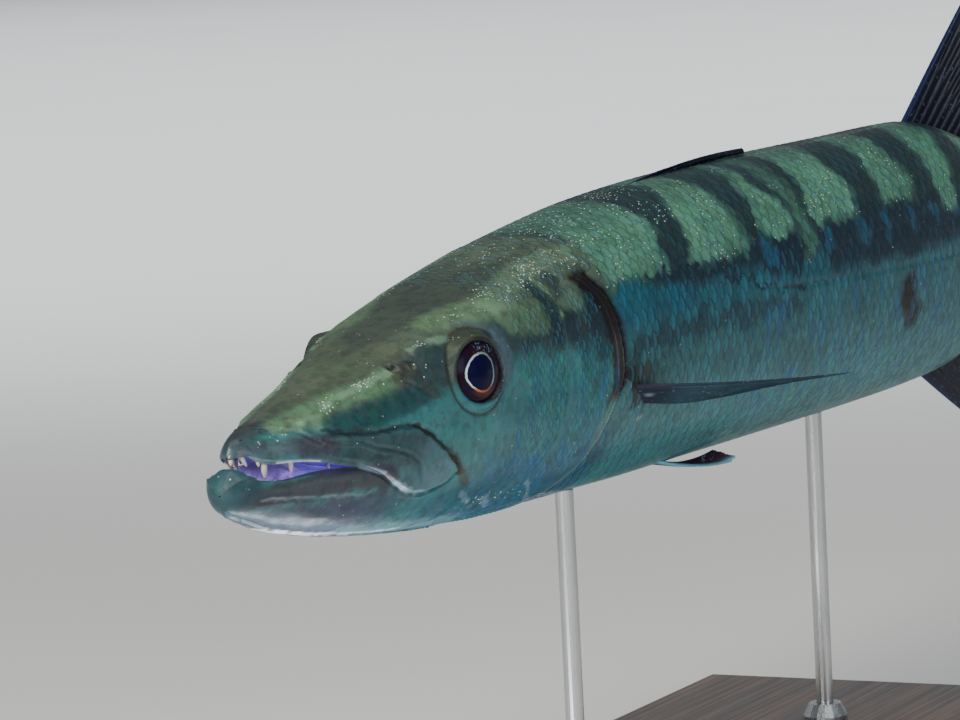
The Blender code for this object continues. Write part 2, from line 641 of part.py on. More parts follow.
def build_body(looks, parent):
    half = 0.5 * GAP / STANDARD_LENGTH
    body_length("trunk_front", HEAD_END + 2 * half, TRUNK_MIDDLE - half, 13, looks["flank"], parent)
    body_length("trunk_rear", TRUNK_MIDDLE + half, STALK_START - half, 19, looks["flank"], parent)
    body_length("tail_stalk", STALK_START + half, BODY_END, 10, looks["flank"], parent)


# Fins: each is a fan of rays from a root line to an outer edge, with a ridge along each ray
def fan(roots, tips, bow, rays, rows):
    """The middle surface of a fin, as a grid of rows from root to tip, and the rays' crests."""
    columns = 2 * rays - 1
    along = np.linspace(0, 1, rows)[:, None, None]
    grid = roots[None] + (tips - roots)[None] * along + bow[None] * (along * (1 - along) * 4)
    crest = (np.arange(columns) % 2 == 0).astype(float)
    return grid, crest


def fin_solid(name, grid, crest, root_half, tip_half, made_of, parent, seat=None):
    """Gives a fin's middle surface its thickness, thin between the rays and at the outer edge."""
    rows = grid.shape[0]
    along = np.gradient(grid, axis=0)
    across = np.gradient(grid, axis=1)
    normal = np.cross(along, across)
    normal /= np.linalg.norm(normal, axis=-1, keepdims=True)
    t = np.linspace(0, 1, rows)[:, None]
    half = root_half + (tip_half - root_half) * t ** 0.8
    half = half * (MEMBRANE_SHARE + (1 - MEMBRANE_SHARE) * crest[None, :])
    left, right = grid + normal * half[..., None], grid - normal * half[..., None]
    if seat is not None:
        left[0], right[0] = seat(left[0], left[1]), seat(right[0], right[1])
    return add_object(name, slab(name, left, right), made_of, parent)


def skin_distance(points):
    """How far points stand off the skin, measured outward from the middle of their section."""
    s, w, z = points[:, 0], np.abs(points[:, 1]), points[:, 2]
    widest = smooth(WIDEST_HEIGHT, s)
    above = z >= widest
    fullness = np.where(above, smooth(UPPER_FULLNESS, s), smooth(LOWER_FULLNESS, s))
    reach = np.where(above, smooth(BACK_LINE, s) - widest, widest - smooth(BELLY_LINE, s))
    share = (w / smooth(HALF_WIDTH, s)) ** fullness + (np.abs(z - widest) / reach) ** fullness
    return (1 - share ** (-1 / fullness)) * np.hypot(w, z - widest)


def seat_on_skin(points, toward):
    """Slides root points along their rays until they stand one gap off the skin."""
    ray = toward - points
    ray /= np.linalg.norm(ray, axis=-1, keepdims=True)
    away = 1.6 * GAP / STANDARD_LENGTH
    low = np.full(len(points), -0.012)
    high = np.full(len(points), 0.012)
    for _ in range(30):
        middle = 0.5 * (low + high)
        outside = skin_distance(points + ray * middle[:, None]) > away
        high = np.where(outside, middle, high)
        low = np.where(outside, low, middle)
    return points + ray * high[:, None]


def midline_fin(name, base, tips_s, tips_z, edge_line, sign, rays, rows, halves, bow, made_of, parent):
    """A fin on the fish's middle plane, rooted on the back or the belly."""
    share = np.linspace(0, 1, 2 * rays - 1)
    s = base[0] + (base[1] - base[0]) * share
    root_z = smooth(edge_line, s) + sign * GAP / STANDARD_LENGTH * 1.4
    flat = np.zeros_like(s)
    roots = np.stack([s, flat, root_z], axis=1)
    tips = np.stack([smooth(tips_s, share), flat, smooth(tips_z, share)], axis=1)
    lean = np.stack([flat, flat, sign * np.interp(share, [0, 1], bow)], axis=1)
    grid, crest = fan(roots, tips, lean, rays, rows)
    return fin_solid(name, grid, crest, halves[0], halves[1], made_of, parent)


def first_dorsal_fin(looks, parent):
    """Five spines folded down along the back, joined by their membrane."""
    lift = float(smooth(BACK_LINE, FIRST_DORSAL_REACH[0]))
    tips_s = [(0, FIRST_DORSAL_REACH[0]), (1, FIRST_DORSAL_REACH[1])]
    tips_z = [(0, lift + FIRST_DORSAL_RISE[0]), (1, lift + FIRST_DORSAL_RISE[1])]
    midline_fin("dorsal_fin_first", FIRST_DORSAL_BASE, tips_s, tips_z, BACK_LINE, 1, 5, 7, (0.0016, 0.0007),
                FIRST_DORSAL_BOW, looks["fin_dark"], parent)


def second_dorsal_fin(looks, parent):
    midline_fin("dorsal_fin_second", SECOND_DORSAL_BASE, SECOND_DORSAL_REACH, SECOND_DORSAL_HEIGHT,
                BACK_LINE, 1, 10, 7, (0.0020, 0.00035), MIDLINE_BOW, looks["fin_dark"], parent)


def anal_fin(looks, parent):
    midline_fin("anal_fin", ANAL_BASE, ANAL_REACH, ANAL_HEIGHT, BELLY_LINE, -1, 10, 7, (0.0020, 0.00035),
                MIDLINE_BOW, looks["fin_dark"], parent)


def tail_lobe(word, side, looks, parent):
    """One lobe of the forked tail, its rays fanning from the stalk's end to a twice-notched edge."""
    rays, rows = 10, 7
    share = np.linspace(0, 1, 2 * rays - 1)
    flat = np.zeros_like(share)
    apart = 0.5 * GAP / STANDARD_LENGTH
    root_s = np.full_like(share, BODY_END + 2 * apart)
    roots = np.stack([root_s, flat, STALK_MIDDLE + side * (apart + share * TAIL_ROOT_HALF_HEIGHT)], axis=1)
    tip_z = STALK_MIDDLE + side * (apart + smooth(TAIL_SPREAD, share))
    tips = np.stack([smooth(TAIL_REACH, share), flat, tip_z], axis=1)
    bow = np.stack([flat, flat, side * share ** 2 * TAIL_BOW], axis=1)
    grid, crest = fan(roots, tips, bow, rays, rows)
    fin_solid(f"caudal_fin_{word}", grid, crest, 0.0042, 0.00035, looks["fin_dark"], parent)


def direction(outward, upward):
    """A unit direction from the tailward axis, turned outward and upward in degrees."""
    out, up = np.radians(outward), np.radians(upward)
    return np.stack([np.cos(out) * np.cos(up), np.sin(out) * np.cos(up), np.sin(up)], axis=-1)


def paired_fin(name, side, root, outward, upward, lengths, rays, rows, halves, bow, made_of, parent):
    """A paired fin whose rays fan from a root line on the skin."""
    share = np.linspace(0, 1, 2 * rays - 1)
    s = root[0][0] + (root[1][0] - root[0][0]) * share
    angle = np.radians(root[0][1] + (root[1][1] - root[0][1]) * share)
    w, z = ring_point(s, angle)
    normal = skin_normal(s, angle)
    roots = np.stack([s, w, z], axis=1) + normal * 0.0009
    rays_out = direction(smooth(outward, share), smooth(upward, share))
    tips = roots + rays_out * smooth(lengths, share)[:, None]
    grid, crest = fan(roots, tips, np.array(bow)[None] * np.ones((len(share), 1)), rays, rows)
    grid = grid * [1, side, 1]
    return fin_solid(name, grid, crest, halves[0], halves[1], made_of, parent, seat_on_skin)


def pectoral_fin(word, side, looks, parent):
    paired_fin(f"pectoral_fin_{word}", side, PECTORAL_ROOT, PECTORAL_OUTWARD, PECTORAL_UPWARD,
               PECTORAL_LENGTHS, 10, 6, (0.0016, 0.00032), PECTORAL_BOW, looks["fin_pale"], parent)


def pelvic_fin(word, side, looks, parent):
    paired_fin(f"pelvic_fin_{word}", side, PELVIC_ROOT, PELVIC_OUTWARD, PELVIC_UPWARD, PELVIC_LENGTHS, 6, 6,
               (0.0015, 0.00032), PELVIC_BOW, looks["fin_pale"], parent)


# Stand
def build_stand(looks):
    size_x, size_y, size_z = STAND_SIZE
    bpy.ops.mesh.primitive_cube_add(size=1.0, location=(0, 0, size_z / 2))
    base = bpy.context.object
    base.name = "stand_base"
    base.data.name = "stand_base"
    base.data.transform(Matrix.Diagonal((size_x, size_y, size_z, 1.0)))
    edge = base.modifiers.new("Rounded edges", "BEVEL")
    edge.width = STAND_EDGE
    edge.segments = 2
    base.data.materials.append(looks["stand_wood"])
    place_in_parts(base)
    for word, station in ROD_STATIONS.items():
        stand_rod(word, station, looks)


def place_in_parts(thing):
    for collection in list(thing.users_collection):
        collection.objects.unlink(thing)
    PARTS.objects.link(thing)


def stand_rod(word, station, looks):
    """A rod from the base up to the belly, with a turned collar round its foot."""
    x, y, z = bend([station, 0.0, float(smooth(BELLY_LINE, station))])
    foot = STAND_SIZE[2] + GAP
    top = AXIS_HEIGHT + z - 2 * GAP
    bpy.ops.mesh.primitive_cylinder_add(vertices=20, radius=ROD_RADIUS, depth=top - foot,
                                        location=(x, y, (top + foot) / 2))
    rod = bpy.context.object
    rod.name = f"stand_rod_{word}"
    rod.data.name = rod.name
    rod.data.shade_smooth()
    rod.data.set_sharp_from_angle(angle=math.radians(40))
    rod.data.materials.append(looks["stand_steel"])
    place_in_parts(rod)

    inner = ROD_RADIUS + GAP
    profile = [(COLLAR_TOP_RADIUS, COLLAR_HEIGHT), (COLLAR_RADIUS, COLLAR_SHOULDER), (COLLAR_RADIUS, 0.0),
               (inner, 0.0), (inner, COLLAR_HEIGHT)]
    mesh = bpy.data.meshes.new(f"stand_collar_{word}")
    count = len(profile)
    mesh.from_pydata([(r, 0, h) for r, h in profile], [(i, (i + 1) % count) for i in range(count)], [])
    collar = bpy.data.objects.new(mesh.name, mesh)
    PARTS.objects.link(collar)
    collar.location = (x, y, foot)
    turn = collar.modifiers.new("Turned", "SCREW")
    turn.steps = 16
    turn.render_steps = 16
    turn.use_merge_vertices = True
    turn.merge_threshold = 0.00001
    turn.use_normal_calculate = True
    mesh.materials.append(looks["stand_steel"])


def make_looks():
    return {
        "snout": material("snout_skin", (0.22, 0.27, 0.25), 0.35),
        "jaw": material("jaw_skin", (0.38, 0.42, 0.44), 0.30),
        "lip": material("lip_skin", (0.26, 0.29, 0.28), 0.32),
        "cheek": material("cheek_skin", (0.30, 0.40, 0.42), 0.30),
        "flank": material("flank_skin", (0.36, 0.47, 0.48), 0.32),
        "eye": material("eye", (0.03, 0.04, 0.07), 0.08),
        "fin_dark": material("dark_fin", (0.05, 0.07, 0.12), 0.45),
        "fin_pale": material("pale_fin", (0.30, 0.36, 0.40), 0.40),
        "stand_wood": material("stand_wood", (0.09, 0.05, 0.03), 0.40),
        "stand_steel": material("stand_steel", (0.62, 0.62, 0.63), 0.28, 1.0),
    }


def clear_scene():
    for thing in list(bpy.data.objects):
        bpy.data.objects.remove(thing)
    for collection in list(bpy.data.collections):
        bpy.data.collections.remove(collection)


clear_scene()
PARTS = bpy.data.collections.new("barracuda")
CUTTERS = bpy.data.collections.new("cutters")
bpy.context.scene.collection.children.link(PARTS)
bpy.context.scene.collection.children.link(CUTTERS)

body_axis = bpy.data.objects.new("body_axis", None)
body_axis.location = (0.0, 0.0, AXIS_HEIGHT)
PARTS.objects.link(body_axis)

finish = make_looks()
build_head(finish, body_axis)
build_body(finish, body_axis)
first_dorsal_fin(finish, body_axis)
second_dorsal_fin(finish, body_axis)
anal_fin(finish, body_axis)
tail_lobe("upper", 1, finish, body_axis)
tail_lobe("lower", -1, finish, body_axis)
for fin_side, fin_word in ((1, "left"), (-1, "right")):
    pectoral_fin(fin_word, fin_side, finish, body_axis)
    pelvic_fin(fin_word, fin_side, finish, body_axis)
build_stand(finish)
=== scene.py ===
"""A great barracuda, life size, on a plain display stand: its skin, scales, fins, teeth and eyes.

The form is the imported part's own, from the same stations read in the same way, so the skin lies a
coat's depth inside the part's solids and the scales come up to their surface. Lengths are shares
of the standard length (snout tip to the root of the tail fin) unless a line says metres.
Body axes are s along the body from the snout, w out from the middle plane and z up. A place on
the skin is also given as (s, a), where a is the distance along the skin above the widest height.
"""
import math

import bpy
import numpy as np
from mathutils import Matrix, Vector


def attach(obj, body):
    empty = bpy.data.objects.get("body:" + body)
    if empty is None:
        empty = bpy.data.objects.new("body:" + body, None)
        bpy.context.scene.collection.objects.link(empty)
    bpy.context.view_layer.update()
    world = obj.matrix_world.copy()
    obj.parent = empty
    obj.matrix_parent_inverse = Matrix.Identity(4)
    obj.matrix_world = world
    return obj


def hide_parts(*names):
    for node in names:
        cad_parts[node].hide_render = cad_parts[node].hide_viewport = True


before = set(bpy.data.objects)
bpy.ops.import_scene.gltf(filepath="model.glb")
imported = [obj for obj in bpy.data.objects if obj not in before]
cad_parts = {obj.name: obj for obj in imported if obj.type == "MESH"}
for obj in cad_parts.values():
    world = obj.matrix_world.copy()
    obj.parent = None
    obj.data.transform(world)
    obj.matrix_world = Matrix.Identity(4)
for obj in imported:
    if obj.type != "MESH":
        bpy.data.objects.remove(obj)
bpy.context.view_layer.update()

# The form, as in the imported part
STANDARD_LENGTH = 0.855
AXIS_HEIGHT = 0.225
BALANCE_POINT = 0.475
SPINE_TURNS = [(0.30, 0.50, -4.0), (0.50, 0.72, -3.2), (0.72, 1.00, 1.3)]

BACK_LINE = [(0.0125, -0.0072), (0.0145, -0.0030), (0.018, -0.0004), (0.025, 0.0018), (0.04, 0.0050),
             (0.08, 0.0130), (0.12, 0.0225), (0.16, 0.0335), (0.20, 0.0420), (0.25, 0.0520),
             (0.30, 0.0608), (0.38, 0.0707), (0.46, 0.0756), (0.55, 0.0782), (0.64, 0.0802), (0.72, 0.0822),
             (0.80, 0.0660), (0.88, 0.0480), (0.95, 0.0405), (1.0, 0.0405)]
BELLY_LINE = [(0.0050, -0.0248), (0.0058, -0.0284), (0.0085, -0.0320), (0.014, -0.0344), (0.022, -0.0374),
              (0.04, -0.0435), (0.08, -0.0522), (0.13, -0.0595), (0.18, -0.0645), (0.24, -0.0674),
              (0.31, -0.0692), (0.38, -0.0706), (0.46, -0.0706), (0.55, -0.0700), (0.64, -0.0685),
              (0.735, -0.0640), (0.80, -0.0500), (0.88, -0.0360), (0.95, -0.0315), (1.0, -0.0330)]
HALF_WIDTH = [(0.0050, 0.0010), (0.0058, 0.0042), (0.0085, 0.0080), (0.014, 0.0116), (0.022, 0.0150),
              (0.030, 0.0180), (0.04, 0.0210), (0.06, 0.0256), (0.08, 0.0296), (0.12, 0.0362),
              (0.16, 0.0420), (0.20, 0.0457), (0.25, 0.0505), (0.30, 0.0537), (0.38, 0.0562),
              (0.46, 0.0579), (0.55, 0.0570),
              (0.65, 0.0530), (0.72, 0.0470), (0.80, 0.0370), (0.88, 0.0265), (0.95, 0.0175), (1.0, 0.0090)]
WIDEST_HEIGHT = [(0.0050, -0.0236), (0.0085, -0.0226), (0.014, -0.0211), (0.02, -0.0205), (0.04, -0.019),
                 (0.10, -0.018), (0.16, -0.012), (0.25, -0.008), (0.35, -0.002), (0.50, 0.002), (0.72, 0.006),
                 (0.85, 0.006), (1.0, 0.004)]
UPPER_FULLNESS = [(0.005, 2.0), (0.04, 2.0), (0.08, 2.2), (0.12, 2.7), (0.16, 3.3), (0.20, 3.2),
                  (0.25, 2.8), (0.35, 2.3), (0.60, 2.15), (1.0, 2.0)]
LOWER_FULLNESS = [(0.005, 2.0), (0.06, 1.9), (0.13, 2.0), (1.0, 2.0)]

UPPER_LIP = [(0.0125, -0.0092), (0.0145, -0.0085), (0.0175, -0.0084), (0.0225, -0.0112), (0.030, -0.0133),
             (0.040, -0.0137), (0.050, -0.0149), (0.060, -0.0171), (0.070, -0.0197), (0.080, -0.0217),
             (0.095, -0.0270), (0.110, -0.0335), (0.130, -0.0385), (0.150, -0.0420), (0.176, -0.0470)]
LOWER_LIP = [(0.0050, -0.0232), (0.0058, -0.0206), (0.0085, -0.0184), (0.0135, -0.0176), (0.018, -0.0186),
             (0.024, -0.0198), (0.032, -0.0199), (0.040, -0.0194), (0.050, -0.0190), (0.070, -0.0203),
             (0.080, -0.0217)]
MOUTH_CORNER = 0.080
JAW_END = 0.1755
SNOUT_TIP = 0.0125
CHIN_TIP = 0.0050

# The upper jaw is narrower than the lower towards its tip: its share of the half width
UPPER_JAW_SHARE = [(0.0125, 0.10), (0.0135, 0.40), (0.016, 0.56), (0.020, 0.66), (0.030, 0.755),
                   (0.040, 0.87),
                   (0.055, 0.97), (0.070, 1.0)]

# How far the palate's middle stands above the upper lip, and the mouth floor's above the lower lip
PALATE_RISE = [(0.0125, 0.0), (0.022, 0.0045), (0.045, 0.0045), (0.080, 0.0)]
FLOOR_RISE = [(0.0050, 0.0), (0.0075, 0.0018), (0.011, 0.0044), (0.015, 0.0042), (0.020, 0.0008),
              (0.024, -0.0030), (0.035, -0.0075), (0.060, -0.0060), (0.080, 0.0)]
PALATE_SLOPE = 0.70
FLOOR_SLOPE = 0.80

HEAD_END = 0.3045
BODY_END = 1.0
STALK_MIDDLE = 0.0038

EYE_PLACE = (0.1675, 0.0095)
EYE_SINK = 0.0045
EYE_HALF_SIZE = (0.0190, 0.0168, 0.0085)
EYE_TURN = (math.radians(13), math.radians(5))
EYE_OPENING = (0.0155, 0.0139)
EYE_OPENING_SHIFT = 0.0008
ORBIT_CLEARANCE = 0.0022
NOSTRILS = [(0.1195, 0.0166, 0.0017), (0.1293, 0.0165, 0.0009)]

PLATE_LOWER = [(0.058, -0.0158), (0.080, -0.0212), (0.092, -0.0258), (0.106, -0.0335), (0.118, -0.0385),
               (0.130, -0.0400), (0.141, -0.0388), (0.148, -0.0360), (0.152, -0.0330)]
PLATE_UPPER = [(0.058, -0.0062), (0.068, -0.0060), (0.082, -0.0078), (0.100, -0.0084), (0.110, -0.0076),
               (0.120, -0.0098), (0.130, -0.0140), (0.138, -0.0205), (0.145, -0.0262), (0.152, -0.0315)]

# The gill cover's edges: (degrees round the section above its widest height, distance behind the snout)
COVER_FRONT = [(-64, 0.188), (-40, 0.222), (-20, 0.236), (0, 0.243), (24, 0.2465), (46, 0.250)]
COVER_REAR = [(-90, 0.150), (-86, 0.170), (-78, 0.200), (-70, 0.225), (-62, 0.245), (-41, 0.2705),
              (-30, 0.2778), (-21, 0.2834), (-12.7, 0.2885), (-2, 0.2955), (9, 0.2955), (24, 0.2920),
              (32.6, 0.2885), (39.7, 0.2820), (46.5, 0.2790)]

# Teeth: (distance behind the snout, share of the lip's half width, length, lean back, lean out,
# side: 1 left, -1 right, 0 both)
UPPER_TEETH = [(0.0142, 0.22, 0.0046, 0.05, 0.00, 1), (0.0178, 0.49, 0.0076, 0.30, 0.12, 1),
               (0.0205, 0.50, 0.0026, 0.14, 0.02, -1), (0.0242, 0.80, 0.0030, 0.20, 0.00, 1),
               (0.0282, 0.72, 0.0085, 0.12, -0.02, 1), (0.0296, 0.72, 0.0080, 0.14, -0.02, -1),
               (0.0360, 0.80, 0.0032, 0.20, 0.00, -1), (0.0420, 0.75, 0.0068, 0.14, -0.02, 1),
               (0.0436, 0.75, 0.0064, 0.14, -0.02, -1), (0.0560, 0.80, 0.0026, 0.20, 0.00, -1),
               (0.0632, 0.80, 0.0028, 0.20, 0.00, 1)]
LOWER_TEETH = [(0.0200, 0.58, 0.0016, 0.10, 0.00, -1), (0.0220, 0.62, 0.0016, 0.10, 0.00, 1),
               (0.0262, 0.66, 0.0015, 0.10, 0.00, 0), (0.0305, 0.70, 0.0018, 0.10, 0.00, 0),
               (0.0350, 0.71, 0.0015, 0.10, 0.00, 0), (0.0400, 0.72, 0.0018, 0.10, 0.00, 0),
               (0.0450, 0.74, 0.0014, 0.10, 0.00, 0), (0.0500, 0.75, 0.0014, 0.10, 0.00, 0)]

# How the skin is divided and how deep it lies under the solids' surface where scales cover it
HEAD_STEP = 0.0009
TRUNK_STEP = 0.0036
UPPER_COLUMNS = 104
LOWER_COLUMNS = 58
MOUTH_COLUMNS = 26
COAT_DEPTH = 0.0011
TIP_PLAIN = 0.006
GUM_HEIGHT = 0.0007
GUM_PLACE = 0.24
TONGUE_SHARE = 0.86
TONGUE_TIP = 0.034
TONGUE_FILL = 0.94


# Reading the form
def smooth(stations, at):
    """A curve through the stations that never swings past them, read at the given places."""
    points = np.array(stations, dtype=float)
    xs, ys = points[:, 0], points[:, 1]
    step = np.diff(xs)
    rise = np.diff(ys) / step
    slope = np.empty(len(xs))
    slope[0], slope[-1] = rise[0], rise[-1]
    for i in range(1, len(xs) - 1):
        slope[i] = 0.0
        if rise[i - 1] * rise[i] > 0:
            before = 2 * step[i] + step[i - 1]
            after = step[i] + 2 * step[i - 1]
            slope[i] = (before + after) / (before / rise[i - 1] + after / rise[i])
    x = np.clip(at, xs[0], xs[-1])
    i = np.clip(np.searchsorted(xs, x) - 1, 0, len(xs) - 2)
    t = (x - xs[i]) / step[i]
    start = (1 + 2 * t) * (1 - t) ** 2 * ys[i] + t * (1 - t) ** 2 * step[i] * slope[i]
    end = t * t * (3 - 2 * t) * ys[i + 1] + t * t * (t - 1) * step[i] * slope[i + 1]
    return start + end


def ease(x, low, high):
    """0 below low, 1 above high, and a smooth step between."""
    t = np.clip((x - low) / (high - low), 0.0, 1.0)
    return t * t * (3 - 2 * t)


def hump(x, width):
    """1 at zero, falling smoothly to 0 at the given width on both sides."""
    t = np.clip(1 - np.abs(x) / width, 0.0, 1.0)
    return t * t * (3 - 2 * t)


def section_point(s, turn):
    """Half width and height of the form at station s, where turn goes round the section."""
    widest = smooth(WIDEST_HEIGHT, s)
    above = turn >= 0
    fullness = np.where(above, smooth(UPPER_FULLNESS, s), smooth(LOWER_FULLNESS, s))
    reach = np.where(above, smooth(BACK_LINE, s) - widest, smooth(BELLY_LINE, s) - widest)
    across, up = np.abs(np.cos(turn)), np.abs(np.sin(turn))
    radius = (across ** fullness + up ** fullness) ** (-1 / fullness)
    return smooth(HALF_WIDTH, s) * radius * across, widest + reach * radius * up


def turn_at(s, z):
    """How far round the section at station s the skin has height z."""
    widest = smooth(WIDEST_HEIGHT, s)
    above = z >= widest
    fullness = np.where(above, smooth(UPPER_FULLNESS, s), smooth(LOWER_FULLNESS, s))
    reach = np.where(above, smooth(BACK_LINE, s) - widest, smooth(BELLY_LINE, s) - widest)
    share = np.clip((z - widest) / reach, 0.0, 1.0)
    across = (1 - share ** fullness) ** (1 / fullness)
    return np.where(above, 1, -1) * np.arctan2(share, across)


def half_width_at(s, z):
    return section_point(s, turn_at(s, z))[0]


def arc_table(s, count=361):
    """For each station, turns round the section and the distance along the skin to each of them."""
    turns = np.linspace(-np.pi / 2, np.pi / 2, count)
    w, z = section_point(s[:, None], np.broadcast_to(turns, (len(s), count)))
    arc = np.concatenate([np.zeros((len(s), 1)), np.cumsum(np.hypot(np.diff(w), np.diff(z)), axis=1)], axis=1)
    return turns, arc - arc[:, [count // 2]]


def spine_table():
    """Places and headings along the bent spine, one row per small step."""
    steps = np.linspace(-0.1, 1.3, 2801)
    heading = np.zeros_like(steps)
    for start, end, turn in SPINE_TURNS:
        heading += math.radians(turn) * np.clip((steps - start) / (end - start), 0, 1)
    middle = 0.5 * (heading[1:] + heading[:-1])
    x = np.concatenate([[0.0], np.cumsum(np.cos(middle) * np.diff(steps))])
    y = np.concatenate([[0.0], np.cumsum(np.sin(middle) * np.diff(steps))])
    x -= np.interp(BALANCE_POINT, steps, x)
    y -= np.interp(BALANCE_POINT, steps, y)
    return steps, x, y, heading


SPINE = spine_table()


def place(points):
    """Body axes (s, w, z) to the world, in metres, along the bent spine."""
    points = np.asarray(points, dtype=float)
    steps, x, y, heading = SPINE
    s, w, z = points[..., 0], points[..., 1], points[..., 2]
    turn = np.interp(s, steps, heading)
    px = np.interp(s, steps, x) + w * np.sin(turn)
    py = np.interp(s, steps, y) - w * np.cos(turn)
    return np.stack([px, py, z], axis=-1) * STANDARD_LENGTH + [0.0, 0.0, AXIS_HEIGHT]


def grid_normals(grid):
    """Unit normals of a grid of points, from its rows and columns."""
    normal = np.cross(np.gradient(grid, axis=0), np.gradient(grid, axis=1))
    length = np.linalg.norm(normal, axis=-1, keepdims=True)
    return normal / np.maximum(length, 1e-12)


def line_distance(line, *coordinates):
    """Each point's distance to a line through the given places."""
    points = np.stack(coordinates, axis=-1)
    best = np.full(points.shape[:-1], np.inf)
    corners = np.array(line, dtype=float)
    for start, end in zip(corners[:-1], corners[1:]):
        step = end - start
        t = np.clip(((points - start) @ step) / max(step @ step, 1e-12), 0.0, 1.0)
        best = np.minimum(best, np.linalg.norm(points - start - t[..., None] * step, axis=-1))
    return best


def waves(seed, scale, *coordinates):
    """A smooth wandering value between about -1 and 1, made of crossing waves."""
    draw = np.random.default_rng(seed)
    total = np.zeros(np.shape(coordinates[0]))
    count = 7
    for _ in range(count):
        heading = draw.normal(size=len(coordinates))
        heading *= 2 * np.pi / scale * draw.uniform(0.6, 1.5) / np.linalg.norm(heading)
        phase = draw.uniform(0, 2 * np.pi)
        total += np.sin(sum(h * c for h, c in zip(heading, coordinates)) + phase)
    return total / math.sqrt(count)


# Meshes
def weld(points, faces, *values):
    """Joins points at exactly the same place and drops faces that fold to nothing."""
    points = points + 0.0
    unique, first, index = np.unique(points, axis=0, return_index=True, return_inverse=True)
    faces = index.reshape(-1)[faces]
    repeated = np.stack([faces[:, i] == faces[:, (i + 1) % 4] for i in range(4)], axis=1)
    crossed = (faces[:, 0] == faces[:, 2]) | (faces[:, 1] == faces[:, 3])
    quads = faces[~repeated.any(axis=1) & ~crossed]
    folded = (repeated.sum(axis=1) == 1) & ~crossed
    tris = [faces[folded & repeated[:, i]][:, [k for k in range(4) if k != i]] for i in range(4)]
    return unique, quads, np.concatenate(tris), [value[first] for value in values]


def make_mesh(name, points, quads, tris=None, colours=None, patches=None, look=None):
    """A smooth mesh from arrays, with point colours and, where given, a patch map per corner."""
    tris = np.zeros((0, 3), int) if tris is None else tris
    mesh = bpy.data.meshes.new(name)
    mesh.vertices.add(len(points))
    mesh.vertices.foreach_set("co", np.asarray(points, np.float32).ravel())
    corners = np.concatenate([quads.ravel(), tris.ravel()]).astype(np.int32)
    sizes = np.concatenate([np.full(len(quads), 4), np.full(len(tris), 3)])
    starts = np.concatenate([[0], np.cumsum(sizes)[:-1]]).astype(np.int32)
    mesh.loops.add(len(corners))
    mesh.loops.foreach_set("vertex_index", corners)
    mesh.polygons.add(len(sizes))
    mesh.polygons.foreach_set("loop_start", starts)
    mesh.polygons.foreach_set("use_smooth", np.ones(len(sizes), bool))
    for title, values in (colours or {}).items():
        layer = mesh.attributes.new(title, "FLOAT_COLOR", "POINT")
        rgba = np.ones((len(points), 4), np.float32)
        rgba[:, :values.shape[1]] = values
        layer.data.foreach_set("color", rgba.ravel())
    if patches is not None:
        layer = mesh.uv_layers.new(name="OFBake")
        layer.data.foreach_set("uv", np.asarray(patches[corners], np.float32).ravel())
    mesh.update(calc_edges=True)
    mesh.validate()
    thing = bpy.data.objects.new(name, mesh)
    bpy.context.scene.collection.objects.link(thing)
    if look is not None:
        mesh.materials.append(look)
    return thing


def grid_faces(rows, columns, first=0, flip=False):
    """The quads of a grid of points whose rows follow each other."""
    row, column = np.meshgrid(np.arange(rows - 1), np.arange(columns - 1), indexing="ij")
    a = (row * columns + column + first).ravel()
    quads = np.stack([a, a + 1, a + columns + 1, a + columns], axis=1)
    return quads[:, ::-1] if flip else quads


# The lines of the head's relief: places in body axes on the left side
JAW_BONE = [(0.0311, 0.0072, 0.0000), (0.0378, 0.0101, 0.0001), (0.0441, 0.0136, -0.0008),
            (0.0482, 0.0161, -0.0017), (0.0523, 0.0196, -0.0049), (0.0565, 0.0220, -0.0072)]
LIP_CREASE = [(0.0583, 0.0226, -0.0068), (0.0659, 0.0253, -0.0086), (0.0780, 0.0285, -0.0101),
              (0.0880, 0.0312, -0.0138), (0.1000, 0.0335, -0.0165), (0.1120, 0.0353, -0.0204),
              (0.1190, 0.0362, -0.0250), (0.1220, 0.0352, -0.0310)]
SNOUT_RIDGE = [(0.0532, 0.0147, 0.0009), (0.0634, 0.0180, 0.0030), (0.0729, 0.0180, 0.0068),
               (0.0856, 0.0190, 0.0092), (0.0995, 0.0205, 0.0119), (0.1065, 0.0225, 0.0126),
               (0.1185, 0.0270, 0.0134)]
SNOUT_LINE = [(0.0272, 0.0014, 0.0022), (0.0330, 0.0062, 0.0015), (0.0409, 0.0106, 0.0009)]
BROW = [(0.1369, 0.0262, 0.0236), (0.1414, 0.0295, 0.0241), (0.1496, 0.0322, 0.0265),
        (0.1534, 0.0347, 0.0258),
        (0.1640, 0.0370, 0.0258), (0.1800, 0.0383, 0.0263), (0.1890, 0.0403, 0.0234)]
NOSTRIL_FOLD = [(0.1192, 0.0290, 0.0117), (0.1236, 0.0323, 0.0096), (0.1280, 0.0355, 0.0066),
                (0.1331, 0.0381, 0.0029)]
JAW_FOLD = [(0.0191, 0.0120, -0.0282), (0.0255, 0.0147, -0.0281), (0.0342, 0.0173, -0.0290),
            (0.0534, 0.0212, -0.0314), (0.0667, 0.0237, -0.0325), (0.0877, 0.0270, -0.0348),
            (0.0995, 0.0290, -0.0360)]
CHEEK_FOLD = [(0.1380, 0.0395, -0.0230), (0.1433, 0.0399, -0.0268), (0.1540, 0.0397, -0.0330),
              (0.1585, 0.0386, -0.0370), (0.1660, 0.0370, -0.0430)]
JAW_CREASE = [(0.1120, 0.0300, -0.0470), (0.1400, 0.0310, -0.0520), (0.1700, 0.0300, -0.0560),
              (0.2000, 0.0280, -0.0590)]
